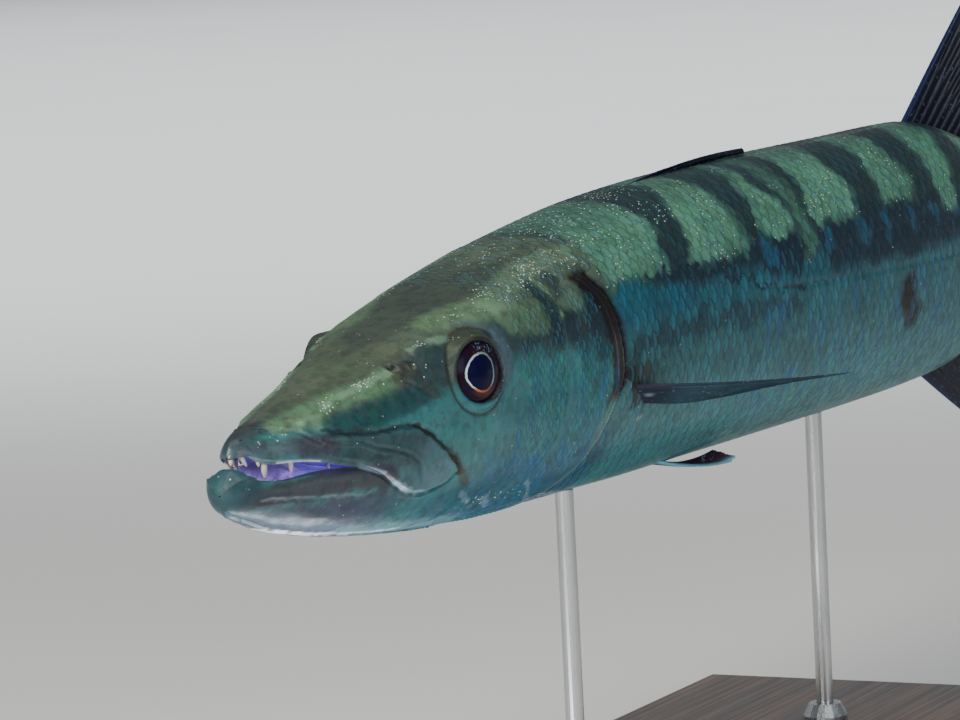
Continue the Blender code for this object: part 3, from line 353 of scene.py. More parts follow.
LATERAL_LINE = [(0.300, 0.042), (0.335, 0.039), (0.379, 0.037), (0.413, 0.029), (0.444, 0.021),
                (0.469, 0.014),
                (0.502, 0.0115), (0.536, 0.0095), (0.592, 0.007), (0.648, 0.005), (0.720, 0.004),
                (0.840, 0.001), (1.0, 0.0)]


def plate_inside(s, z):
    """How far inside the upper-lip plate a place is, below zero outside it."""
    inside = np.minimum(z - smooth(PLATE_LOWER, s), smooth(PLATE_UPPER, s) - z)
    ends = PLATE_LOWER[-1][0] - s
    return np.minimum(inside, ends)


def cover_place(s, turn):
    """How far a place lies behind the gill cover's rear edge, and its share of the way across the cover."""
    degrees = np.degrees(turn)
    front, rear = smooth(COVER_FRONT, degrees), smooth(COVER_REAR, degrees)
    return s - rear, (s - front) / (rear - front)


def scaled_share(s, turn):
    """1 where scales cover the skin, 0 where it is bare, with soft borders."""
    behind, _ = cover_place(s, turn)
    degrees = np.degrees(turn)
    trunk = np.where(degrees < 46, ease(behind, 0.002, 0.006), ease(s, 0.276, 0.284))
    return trunk * (1 - ease(s, 0.985, 0.998))


def relief(s, w, z, turn, a, lip):
    """How far the skin stands off the plain form. lip is the distance from an open lip's edge."""
    high = np.zeros_like(s)

    # Upper-lip plate, with the groove over it and its rounded end
    inside = plate_inside(s, z)
    along = ease(s, 0.050, 0.072)
    high += 0.0017 * ease(inside, -0.0002, 0.0024) * along * (s < 0.16)
    deep = 0.0009 + 0.0009 * ease(s, 0.118, 0.134)
    high -= deep * hump(inside + 0.0009, 0.0016) * along * (1 - ease(s, 0.154, 0.160))
    disc = np.hypot((s - 0.131) / 0.0150, (z + 0.0285) / 0.0115)
    high += 0.0007 * (1 - ease(disc, 0.2, 1.0))

    # Lips
    open_mouth = 1 - ease(s, 0.070, 0.082)
    open_mouth *= ease(s, 0.016, 0.026)
    high -= 0.0009 * (1 - ease(lip, 0.0, 0.0017)) * open_mouth
    high += 0.0005 * hump(lip - 0.0030, 0.0032) * open_mouth

    # Bones, folds and creases
    for line, height, width in [(JAW_BONE, -0.0006, 0.0014), (LIP_CREASE, -0.0007, 0.0012),
                                (SNOUT_RIDGE, 0.0010, 0.0034), (SNOUT_LINE, -0.0004, 0.0009),
                                (BROW, 0.0013, 0.0042), (NOSTRIL_FOLD, -0.0006, 0.0013),
                                (JAW_FOLD, -0.0004, 0.0013), (CHEEK_FOLD, -0.0012, 0.0018),
                                (JAW_CREASE, -0.0005, 0.0014)]:
        corners = np.array(line)
        near = (s > corners[0, 0] - width) & (s < corners[-1, 0] + width)
        away = line_distance(line, s[near], w[near], z[near])
        high[near] += height * hump(away, width)
        if height < 0:
            high[near] += -0.35 * height * hump(away - 1.5 * width, width)

    for centre_s, centre_z, radius in NOSTRILS:
        away = np.hypot((s - centre_s) / 1.35, z - centre_z)
        high -= 0.0018 * (1 - ease(away, 0.35 * radius, radius))
        high += 0.0005 * hump(away - 1.5 * radius, 0.8 * radius)

    # Preopercle, gill cover and the slot behind it
    behind, share = cover_place(s, turn)
    degrees = np.degrees(turn)
    top = 1 - ease(degrees, 40, 47)
    low = ease(degrees, -80, -58)
    front = s - smooth(COVER_FRONT, degrees)
    fold = top * ease(degrees, -70, -50)
    high += (0.0008 * hump(front + 0.0040, 0.0050) - 0.0011 * hump(front, 0.0018)) * fold
    lift = (0.0008 + 0.0014 * low) * ease(share, 0.05, 0.85)
    margin = ease(behind, -0.0072, -0.0058) * 0.0005
    high += (lift - margin) * top * (behind < 0)
    high -= 0.0040 * top * (1 - ease(behind, 0.0008, 0.0060)) * (behind >= 0)
    for back in (0.011, 0.021, 0.031, 0.041, 0.051):
        high -= 0.0007 * hump(behind + back, 0.0020) * (1 - ease(degrees, -66, -56)) * ease(s, 0.13, 0.17)

    # Lateral line, and the depth of the coat where scales lie
    line_height = np.interp(s, [p[0] for p in LATERAL_LINE], [p[1] for p in LATERAL_LINE])
    high -= 0.00035 * hump(a - line_height, 0.0022) * ease(s, 0.300, 0.320)
    high += 0.00012 * waves(3, 0.012, s, w, z) * (1 - ease(s, 0.16, 0.24)) * ease(s, 0.015, 0.03)
    return high - COAT_DEPTH * scaled_share(s, turn)


def eye_axes():
    """The left eye's middle and its outward, tailward and upward directions, in body axes."""
    s, z = EYE_PLACE
    forward, up = EYE_TURN
    out = np.array([-math.sin(forward), math.cos(forward) * math.cos(up), math.sin(up)])
    out /= np.linalg.norm(out)
    back = np.cross(out, [0.0, 0.0, 1.0])
    back /= np.linalg.norm(back)
    back *= np.sign(back[0])
    rise = np.cross(back, out)
    rise *= np.sign(rise[2])
    middle = np.array([s, float(half_width_at(s, z)), z]) - out * EYE_SINK
    return middle, out, back, rise


def shape_orbit(points):
    """Draws the skin round the eye onto a flat rim, and tucks it in behind the eyeball."""
    middle, out, back, rise = eye_axes()
    offset = points - middle
    x, y, deep = offset @ back, offset @ rise, offset @ out
    edge = np.hypot((x - EYE_OPENING_SHIFT) / EYE_OPENING[0], y / EYE_OPENING[1])
    ball = 1 - (x / EYE_HALF_SIZE[0]) ** 2 - (y / EYE_HALF_SIZE[1]) ** 2
    ball = EYE_HALF_SIZE[2] * np.sqrt(np.maximum(ball, 0.0))
    seat = EYE_HALF_SIZE[2] * math.sqrt(1 - (EYE_OPENING[0] / EYE_HALF_SIZE[0]) ** 2)
    rim = seat + 0.0004 + 0.0011 * ease(edge, 0.98, 1.10)
    sunk = ball - ORBIT_CLEARANCE
    wanted = np.where(edge < 0.96, sunk, sunk + (rim - sunk) * ease(edge, 0.96, 1.02))
    hold = (1 - ease(edge, 1.10, 1.42)) * (np.abs(deep) < 0.03)
    groove = -0.0006 * hump(edge - 1.36, 0.14) * (np.abs(deep) < 0.03)
    return points + out * ((wanted - deep) * hold + groove)[..., None]


def orbit_place(s, turn):
    """Places on the plain form as seen round the eye: how far out, 1 on the opening, and which way."""
    middle, _, back, rise = eye_axes()
    offset = np.stack([s, *section_point(s, turn)], axis=-1) - middle
    x, y = (offset @ back - EYE_OPENING_SHIFT) / EYE_OPENING[0], offset @ rise / EYE_OPENING[1]
    return np.hypot(x, y), np.arctan2(y, x)


def spread_rows(s, start, end, shares):
    """Turns round the section, and arc lengths, at shares of the way from one turn to another."""
    turns, arcs = arc_table(s)
    turn = np.empty((len(s), shares.shape[1]))
    arc = np.empty_like(turn)
    for i in range(len(s)):
        first, last = np.interp([start[i], end[i]], turns, arcs[i])
        arc[i] = first + (last - first) * shares[i]
        turn[i] = np.interp(arc[i], arcs[i], turns)
    return turn, arc


def half_sheet(s, start, end, shares, open_edge, narrow):
    """A grid over the left half of the skin, with its relief, and each point's (s, a) and turn."""
    turn, arc = spread_rows(s, start, end, shares)
    stations = np.repeat(s[:, None], shares.shape[1], axis=1)
    w, z = section_point(stations, turn)
    w = w * narrow[:, None]
    grid = np.stack([stations, w, z], axis=-1)
    normal = grid_normals(grid)
    normal *= np.sign(np.sum(normal[..., 1] * w))
    midline = 0 if open_edge else -1
    normal[:, midline, 1] = 0.0
    lip = np.abs(arc - arc[:, [open_edge]])
    high = relief(stations, w, z, turn, arc, lip) * ease(stations - s[0], 0.0, TIP_PLAIN)
    grid = grid + normal * high[..., None]
    grid[:, midline, 1] = 0.0
    grid[0] = [s[0], 0.0, grid[0, :, 2].mean()]
    return shape_orbit(grid), np.stack([stations, arc], axis=-1), turn


def skin_stations():
    tip = SNOUT_TIP + 0.015 * np.linspace(0, 1, 34) ** 1.6
    head = np.linspace(tip[-1], MOUTH_CORNER, int((MOUTH_CORNER - tip[-1]) / HEAD_STEP) + 1)[1:]
    rear = np.linspace(MOUTH_CORNER, HEAD_END, int((HEAD_END - MOUTH_CORNER) / HEAD_STEP) + 1)[1:]
    trunk = np.linspace(HEAD_END, BODY_END, int((BODY_END - HEAD_END) / TRUNK_STEP) + 1)[1:]
    return np.concatenate([tip, head, rear, trunk])


def split_turn(s):
    """Where the upper and lower sheets meet: along the upper lip, then low on the side."""
    lip = turn_at(s, smooth(UPPER_LIP, s))
    joint = float(turn_at(np.array(JAW_END), smooth(UPPER_LIP, JAW_END)))
    rear = joint + (math.radians(-35) - joint) * ease(s, JAW_END, 0.26)
    return np.where(s <= JAW_END, lip, rear)


def skin_sheets():
    """The left half of the skin: over the back, under the belly, and the mouth's roof and floor."""
    s = skin_stations()
    drawn_in = 0.6 * (1 - ease(s, 0.10, 0.20))[:, None]
    t = np.linspace(0, 1, UPPER_COLUMNS + 1)[None, :]
    upper_shares = t + drawn_in * t * (1 - t)
    t = np.linspace(0, 1, LOWER_COLUMNS + 1)[None, :]
    lower_shares = t - drawn_in * t * (1 - t)

    split = split_turn(s)
    top = np.full(len(s), np.pi / 2)
    narrow = smooth(UPPER_JAW_SHARE, s)
    upper, upper_place, upper_turn = half_sheet(s, top, split, upper_shares, -1, narrow)

    gone = np.clip((s - SNOUT_TIP) / (MOUTH_CORNER - SNOUT_TIP), 0.0, 1.0)
    low_s = s - (SNOUT_TIP - CHIN_TIP) * (1 - gone) ** 2
    low_split = np.where(s < MOUTH_CORNER, turn_at(low_s, smooth(LOWER_LIP, low_s)), split)
    lower, lower_place, lower_turn = half_sheet(low_s, low_split, -top, lower_shares, 0, np.ones_like(s))

    closed = s >= MOUTH_CORNER - 1e-9
    lower[closed, 0] = upper[closed, -1]
    count = int(np.sum(s <= MOUTH_CORNER + 1e-9))
    roof = mouth_sheet(upper[:count, -1], upper_place[:count, -1], PALATE_RISE, PALATE_SLOPE, 1)
    floor = mouth_sheet(lower[:count, 0], lower_place[:count, 0], FLOOR_RISE, FLOOR_SLOPE, -1)
    return (upper, upper_place, upper_turn), (lower, lower_place, lower_turn), roof, floor


def gum_ridge(s, inward):
    """The low ridge inside the lip that the teeth stand on."""
    along = (1 - ease(s, 0.045, MOUTH_CORNER)) * ease(s, 0.008, 0.018)
    return GUM_HEIGHT * hump(inward - GUM_PLACE, 0.16) * along


def tongue_share(s, inward):
    """1 along the tongue's middle and 0 off it."""
    across = np.sqrt(ease(inward, 1 - TONGUE_SHARE, 0.75))
    return across * ease(s, TONGUE_TIP, TONGUE_TIP + 0.008) * (1 - ease(s, 0.074, 0.080))


def mouth_sheet(edge, edge_place, rise, slope, side):
    """The mouth's roof (side 1) or floor (side -1), from its lip in to the middle."""
    inward = np.linspace(0, 1, MOUTH_COLUMNS + 1)[None, :] ** 1.2
    s = np.repeat(edge[:, [0]], inward.shape[1], axis=1)
    arch = smooth(rise, s) * ease(inward, 0.0, slope)
    z = edge[:, [2]] + arch - side * gum_ridge(s, inward)
    if side < 0:
        top = edge[:, [2]] + TONGUE_FILL * (smooth(UPPER_LIP, s) - smooth(LOWER_LIP, s))
        z = z + np.maximum(top - z, 0) * tongue_share(s, inward)
    grid = np.stack([s, edge[:, [1]] * (1 - inward), z], axis=-1)
    places = np.repeat(edge_place[:, None, :], inward.shape[1], axis=1)
    return grid, places, inward


# Markings. A stroke is painted along a line of (s, a) places: (colour, strength, half width, line).
def tint(red, green, blue):
    """A colour as it looks on a screen, 0 to 255, as the shader's own values."""
    share = np.array([red, green, blue]) / 255
    return np.where(share <= 0.04045, share / 12.92, ((share + 0.055) / 1.055) ** 2.4)


OLIVE = tint(82, 94, 78)
GREEN_LIGHT = tint(108, 142, 108)
TEAL_DARK = tint(29, 64, 69)
TEAL = tint(46, 101, 109)
TEAL_PALE = tint(54, 124, 132)
BLUE = tint(31, 85, 117)
NAVY = tint(17, 35, 54)
SLATE = tint(50, 70, 74)
BROWN = tint(65, 61, 51)
PURPLE = tint(49, 44, 73)
LAVENDER = tint(122, 146, 168)
ROSE_WHITE = tint(151, 166, 172)
MAROON = tint(16, 3, 11)
GLINT = tint(143, 185, 151)
# The white of the painted highlights on the chin and over the upper lip
HIGHLIGHT_WHITE = tint(236, 240, 248)
CHIN_BLUE = tint(101, 146, 161)
BLUE_GREY = tint(80, 103, 119)
NAPE = tint(84, 100, 86)
BAR = tint(29, 47, 52)
GAP_LIGHT = tint(98, 154, 130)
MEMBRANE = tint(120, 104, 214)
# The pale of the painted highlight on the tongue
MEMBRANE_HIGHLIGHT = tint(236, 232, 255)
JAW_BROWN = tint(52, 42, 56)
LIP_GREY = tint(70, 68, 82)
SPOT = tint(5, 1, 9)
CHEEK = tint(58, 118, 122)
KNOB = tint(34, 62, 74)
CROWN = tint(50, 58, 58)
TONGUE = tint(150, 126, 226)
# The dark red of the painted shade deep in the mouth
CAVITY_SHADE = tint(46, 12, 18)
FIN_DARK = tint(7, 9, 38)
FIN_EDGE = tint(24, 38, 84)
FIN_TIP = tint(196, 208, 214)
PECTORAL = tint(36, 64, 78)
PELVIC_DARK = tint(38, 16, 42)
PELVIC_EDGE = tint(120, 190, 214)

HEAD_STROKES = [
    # Snout: its olive top, the green glow over the jaw bone, painted shade on the side below the ridge, and
    # painted glints along the ridge
    (OLIVE, 0.9, 0.016, [(0.030, 0.042), (0.070, 0.046), (0.126, 0.050)]),
    (GREEN_LIGHT, 0.55, 0.008, [(0.040, 0.024), (0.062, 0.028), (0.086, 0.031), (0.114, 0.033)]),
    (GREEN_LIGHT, 0.5, 0.006, [(0.052, 0.023), (0.064, 0.020)]),
    # Painted shade along the side below the snout ridge
    (TEAL_DARK, 0.8, 0.007, [(0.066, 0.017), (0.090, 0.018), (0.126, 0.020)]),
    (GLINT, 0.30, 0.0024, [(0.068, 0.026), (0.074, 0.030), (0.086, 0.032), (0.098, 0.0336),
                           (0.116, 0.035)]),
    # Upper jaw: brown along the plate, grey-blue at its end, wet pale lip, and painted shade in the groove
    # over the plate
    (JAW_BROWN, 0.45, 0.012, [(0.017, 0.0240), (0.028, 0.0290)]),
    (LIP_GREY, 0.7, 0.006, [(0.016, 0.0135), (0.040, 0.012), (0.062, 0.010)]),
    (JAW_BROWN, 0.6, 0.0120, [(0.050, 0.0080), (0.066, 0.0065), (0.090, 0.0035), (0.118, -0.0020)]),
    (BLUE_GREY, 0.55, 0.0135, [(0.128, -0.009), (0.134, -0.014)]),
    # Painted shade in the groove over the plate: navy in front, dark red farther back
    (NAVY, 0.7, 0.0016, [(0.059, 0.017), (0.070, 0.0134), (0.090, 0.0105), (0.106, 0.0100),
                         (0.118, 0.0085)]),
    (MAROON, 0.9, 0.0022, [(0.118, 0.0080), (0.126, 0.0030), (0.136, -0.0050), (0.146, -0.0140),
                           (0.156, -0.0230)]),
    (BROWN, 0.7, 0.0030, [(0.144, -0.010), (0.152, -0.019), (0.163, -0.030)]),
    (NAVY, 0.35, 0.0013, [(0.084, 0.000), (0.106, -0.0015), (0.118, -0.009), (0.122, -0.019)]),
    # The pale rim along the plate's lower rear edge: partly its own pale violet, partly a painted highlight
    (LAVENDER, 0.7, 0.0022, [(0.094, -0.0075), (0.106, -0.0150), (0.116, -0.0210), (0.126, -0.0250),
                               (0.135, -0.0266), (0.144, -0.0240)]),
    # Nostril, its pits painted dark as shade, the brown patches by it and the wrinkle below
    (MAROON, 0.95, 0.0020, [(0.1190, 0.0380), (0.1204, 0.0380)]),
    (MAROON, 0.7, 0.0012, [(0.1290, 0.0370), (0.1300, 0.0365)]),
    (BROWN, 0.65, 0.0055, [(0.117, 0.030), (0.127, 0.033)]),
    (BROWN, 0.5, 0.0040, [(0.131, 0.022), (0.136, 0.018)]),
    # Round the eye
    (GREEN_LIGHT, 0.45, 0.012, [(0.162, 0.053), (0.180, 0.054), (0.194, 0.050)]),
    (GLINT, 0.35, 0.0034, [(0.148, 0.0420), (0.158, 0.0400)]),
    (GLINT, 0.30, 0.0022, [(0.136, 0.0425), (0.142, 0.0425)]),
    (BLUE_GREY, 0.8, 0.0065, [(0.190, 0.0350), (0.194, 0.0250), (0.191, 0.0150)]),
    # Cheek and gill cover
    (NAVY, 0.12, 0.0100, [(0.206, 0.0260), (0.214, 0.0190)]),
    (NAVY, 0.40, 0.0120, [(0.262, 0.0180), (0.268, 0.0060)]),
    (GREEN_LIGHT, 0.45, 0.0110, [(0.206, 0.0400), (0.230, 0.0370)]),
    (NAVY, 0.6, 0.0065, [(0.236, 0.0550), (0.239, 0.0400), (0.240, 0.0260)]),
    (NAVY, 0.6, 0.0060, [(0.254, 0.0560), (0.255, 0.0400), (0.252, 0.0240)]),
    (GREEN_LIGHT, 0.6, 0.0022, [(0.243, 0.0550), (0.246, 0.0430), (0.248, 0.0350)]),
    (GREEN_LIGHT, 0.4, 0.0070, [(0.256, 0.0400), (0.264, 0.0390)]),
    (NAVY, 0.7, 0.0120, [(0.275, 0.0430), (0.277, 0.0280), (0.278, 0.0150)]),
    (GLINT, 0.25, 0.0090, [(0.200, 0.0510), (0.236, 0.0630), (0.266, 0.0670), (0.300, 0.0640)]),
    (TEAL, 0.6, 0.0200, [(0.200, -0.0100), (0.240, -0.0150), (0.262, -0.0080)]),
    (BLUE, 0.45, 0.0080, [(0.176, -0.0200), (0.196, -0.0300), (0.226, -0.0350)]),
    # Lower jaw: purple-brown under the lip, the pale fold painted as a highlight along it, and the blue-white
    # chin, a pale underside with a painted highlight along its lower edge and painted glints farther back
    (JAW_BROWN, 0.85, 0.0080, [(0.014, -0.0060), (0.046, -0.0070), (0.078, -0.0070), (0.098, -0.0110)]),
    (PURPLE, 0.6, 0.0035, [(0.054, -0.0020), (0.076, -0.0035), (0.098, -0.0075)]),
    # A painted highlight along the fold
    (ROSE_WHITE, 0.22, 0.0012, [(0.0191, -0.0079), (0.0255, -0.0081), (0.0342, -0.0099), (0.0534, -0.0131),
                                (0.0667, -0.0145), (0.0877, -0.0171)]),
    (KNOB, 0.85, 0.0085, [(0.0060, 0.0010), (0.0130, 0.0010)]),
    (KNOB, 0.85, 0.0080, [(0.0070, -0.0080), (0.0100, -0.0100)]),
    (BLUE, 0.45, 0.0065, [(0.0080, -0.0150), (0.0160, -0.0190), (0.0360, -0.0260), (0.0660, -0.0330),
                              (0.0900, -0.0400)]),
    # A painted highlight along the chin's lower edge, white in front and pale blue farther back, partly the
    # jaw's own pale underside
    (HIGHLIGHT_WHITE, 1.0, 0.0030, [(0.0120, -0.0245), (0.0220, -0.0290), (0.0400, -0.0350), (0.0620, -0.0400)]),
    (HIGHLIGHT_WHITE, 0.75, 0.0024, [(0.0620, -0.0400), (0.1000, -0.0480), (0.1400, -0.0560)]),
    (CHIN_BLUE, 0.45, 0.0080, [(0.090, -0.0420), (0.126, -0.0500), (0.186, -0.0620)]),
    # Painted glints near the jaw's angle
    (LAVENDER, 0.5, 0.0026, [(0.192, -0.0450), (0.204, -0.0550)]),
    (LAVENDER, 0.4, 0.0024, [(0.166, -0.0370), (0.178, -0.0450)]),
    (LAVENDER, 0.45, 0.0024, [(0.226, -0.0430), (0.232, -0.0490)]),
    (LAVENDER, 0.45, 0.0028, [(0.234, -0.0530), (0.244, -0.0630)]),
]

# The wet pale edge of the upper lip, the small painted highlights over it, and the lower lip's rim
LIP_STROKES = [
    (LAVENDER, 0.75, 0.0014, [(0.0190, 0.0117), (0.0240, 0.0090), (0.0300, 0.0070), (0.0370, 0.0060),
                              (0.0450, 0.0050), (0.0540, 0.0032), (0.0640, 0.0006), (0.0766, -0.0024),
                              (0.0840, -0.0048), (0.0940, -0.0080)]),
    (HIGHLIGHT_WHITE, 0.60, 0.0007, [(0.0320, 0.0067), (0.0370, 0.0061), (0.0450, 0.0051), (0.0530, 0.0035)]),
    (PURPLE, 0.8, 0.0012, [(0.0200, 0.0020), (0.0320, -0.0002), (0.0450, -0.0004), (0.0600, -0.0010),
                           (0.0760, -0.0030)]),
    (MAROON, 0.9, 0.0008, [(0.0188, 0.0215), (0.0192, 0.0217)]),
]

# The light gaps between the dark bars of the back: (distance along the skin above the widest
# height, where the gap starts, where it ends), from the top down
LIGHT_GAPS = [
    (0.85, [(0.074, 0.300, 0.366), (0.060, 0.294, 0.368), (0.040, 0.296, 0.364)]),
    (1.00, [(0.095, 0.414, 0.440), (0.078, 0.407, 0.443), (0.056, 0.396, 0.452), (0.038, 0.381, 0.452)]),
    (0.90, [(0.100, 0.484, 0.496), (0.067, 0.477, 0.497), (0.053, 0.473, 0.505), (0.040, 0.469, 0.504)]),
    (1.00, [(0.100, 0.545, 0.587), (0.067, 0.540, 0.584), (0.047, 0.530, 0.584), (0.041, 0.536, 0.583)]),
    (0.45, [(0.042, 0.510, 0.524), (0.025, 0.508, 0.526)]),
    (0.80, [(0.070, 0.622, 0.655), (0.041, 0.617, 0.659)]),
    (0.85, [(0.100, 0.687, 0.715), (0.058, 0.687, 0.721), (0.031, 0.690, 0.704)]),
    (0.75, [(0.095, 0.748, 0.772), (0.030, 0.744, 0.770)]),
    (0.75, [(0.080, 0.802, 0.826), (0.024, 0.797, 0.822)]),
    (0.70, [(0.060, 0.852, 0.878), (0.018, 0.848, 0.874)]),
    (0.65, [(0.050, 0.905, 0.928), (0.014, 0.902, 0.926)]),
]
TRUNK_STROKES = [
    # Painted shade in the pit at the pectoral fin's root and round it, then a small painted highlight at the
    # root and a pale dash below it
    (MAROON, 0.90, 0.0085, [(0.3085, -0.0050), (0.3130, -0.0170)]),
    (BROWN * 0.6, 0.6, 0.0080, [(0.3180, -0.0100), (0.3260, -0.0200)]),
    (ROSE_WHITE, 0.9, 0.0014, [(0.3050, -0.0120), (0.3075, -0.0125)]),
    (ROSE_WHITE, 0.7, 0.0016, [(0.3200, -0.0300), (0.3230, -0.0280)]),
    (NAVY, 0.85, 0.0130, [(0.468, 0.0300), (0.498, 0.0270)]),
    (BLUE, 0.75, 0.0060, [(0.464, 0.0350), (0.474, 0.0290)]),
    (BLUE, 0.40, 0.0090, [(0.298, 0.0260), (0.340, 0.0250), (0.378, 0.0220)]),
    (NAVY, 0.55, 0.0070, [(0.306, 0.0060), (0.360, 0.0080), (0.420, 0.0060), (0.490, 0.0020)]),
    (NAVY, 0.75, 0.0016, [(0.335, 0.0390), (0.379, 0.0370), (0.413, 0.0290), (0.444, 0.0210),
                          (0.469, 0.0140), (0.502, 0.0115)]),
    (BLUE, 0.7, 0.0055, [(0.537, 0.033), (0.537, 0.027)]),
    (BLUE, 0.7, 0.0055, [(0.582, 0.034), (0.582, 0.026)]),
    (BLUE, 0.7, 0.0060, [(0.611, 0.034), (0.612, 0.026)]),
    (BLUE, 0.7, 0.0060, [(0.645, 0.034), (0.646, 0.026)]),
    (BLUE, 0.6, 0.0040, [(0.676, 0.034), (0.676, 0.026)]),
    (BLUE, 0.6, 0.0040, [(0.704, 0.034), (0.704, 0.026)]),
    # The black spots low on the flank
    (SPOT, 1.0, 0.0160, [(0.632, -0.0130), (0.634, -0.0185)]),
    (NAVY * 0.6, 0.8, 0.0050, [(0.768, -0.0120), (0.772, -0.0190)]),
    (NAVY * 0.6, 0.7, 0.0044, [(0.862, -0.0080), (0.866, -0.0130)]),
]

# Where the wet skin flashes in many small points: strength, reach and the line they follow
GLINTS = [
    (1.5, 0.0130, [(0.205, 0.0530), (0.236, 0.0630), (0.266, 0.0670), (0.300, 0.0640)]),
    (1.7, 0.0044, [(0.068, 0.0260), (0.074, 0.0300), (0.086, 0.0320), (0.098, 0.0336), (0.116, 0.0350)]),
    (2.6, 0.0046, [(0.146, 0.0425), (0.158, 0.0400)]),
    (1.0, 0.0026, [(0.134, 0.0425), (0.146, 0.0425)]),
    (0.5, 0.0070, [(0.118, 0.0310), (0.134, 0.0310)]),
    (1.6, 0.0020, [(0.0223, 0.0152), (0.0271, 0.0171)]),
    (1.4, 0.0020, [(0.0337, 0.0185), (0.0350, 0.0170)]),
    (1.4, 0.0022, [(0.0368, 0.0199), (0.0398, 0.0187)]),
    (0.7, 0.0040, [(0.166, 0.0520), (0.190, 0.0520)]),
    (0.5, 0.0060, [(0.166, -0.0370), (0.178, -0.0450), (0.232, -0.0490)]),
]


def mix(under, over, share):
    return under + (over - under) * np.clip(share, 0, 1)[..., None]


def brush(colours, s, a, strokes):
    """Paints each stroke over the colours, with soft wandering edges."""
    for colour, strength, radius, line in strokes:
        corners = np.array(line)
        near = (s > corners[:, 0].min() - radius) & (s < corners[:, 0].max() + radius)
        near &= (a > corners[:, 1].min() - radius) & (a < corners[:, 1].max() + radius)
        away = line_distance(line, s[near], a[near])
        colours[near] = mix(colours[near], colour, strength * (1 - ease(away, 0.45 * radius, radius)))
    return colours


def paint_orbit(colours, s, turn):
    """The fleshy ring round the eye, olive in front and teal below, between two dark lines."""
    near = np.abs(s - EYE_PLACE[0]) < 0.034
    edge, way = orbit_place(s[near], turn[near])
    edge = edge + 0.03 * np.sin(3 * way + 1.0)
    tones = colours[near]
    below = 0.5 - 0.5 * np.sin(way)
    ring = mix(np.broadcast_to(OLIVE * 0.5, tones.shape), TEAL_PALE, ease(below, 0.45, 0.9))
    ring = mix(ring, BLUE_GREY * 0.8, ease(np.cos(way), 0.2, 0.8) * 0.8)
    inside = (1 - ease(edge, 1.36, 1.44)) * ease(edge, 1.0, 1.06)
    tones = mix(tones, ring, inside * 0.85)
    tones = mix(tones, MAROON, (1 - ease(edge, 1.04, 1.12)) * 0.9)
    tones = mix(tones, MAROON, hump(edge - 1.22, 0.05) * 0.45 * ease(np.cos(way), -0.6, 0.2))
    tones = mix(tones, BROWN * 0.7, hump(edge - 1.42, 0.09) * 0.9)
    tones = mix(tones, BLUE_GREY, hump(edge - 1.62, 0.16) * 0.5 * ease(np.cos(way), -0.3, 0.6))
    colours[near] = tones
    return colours


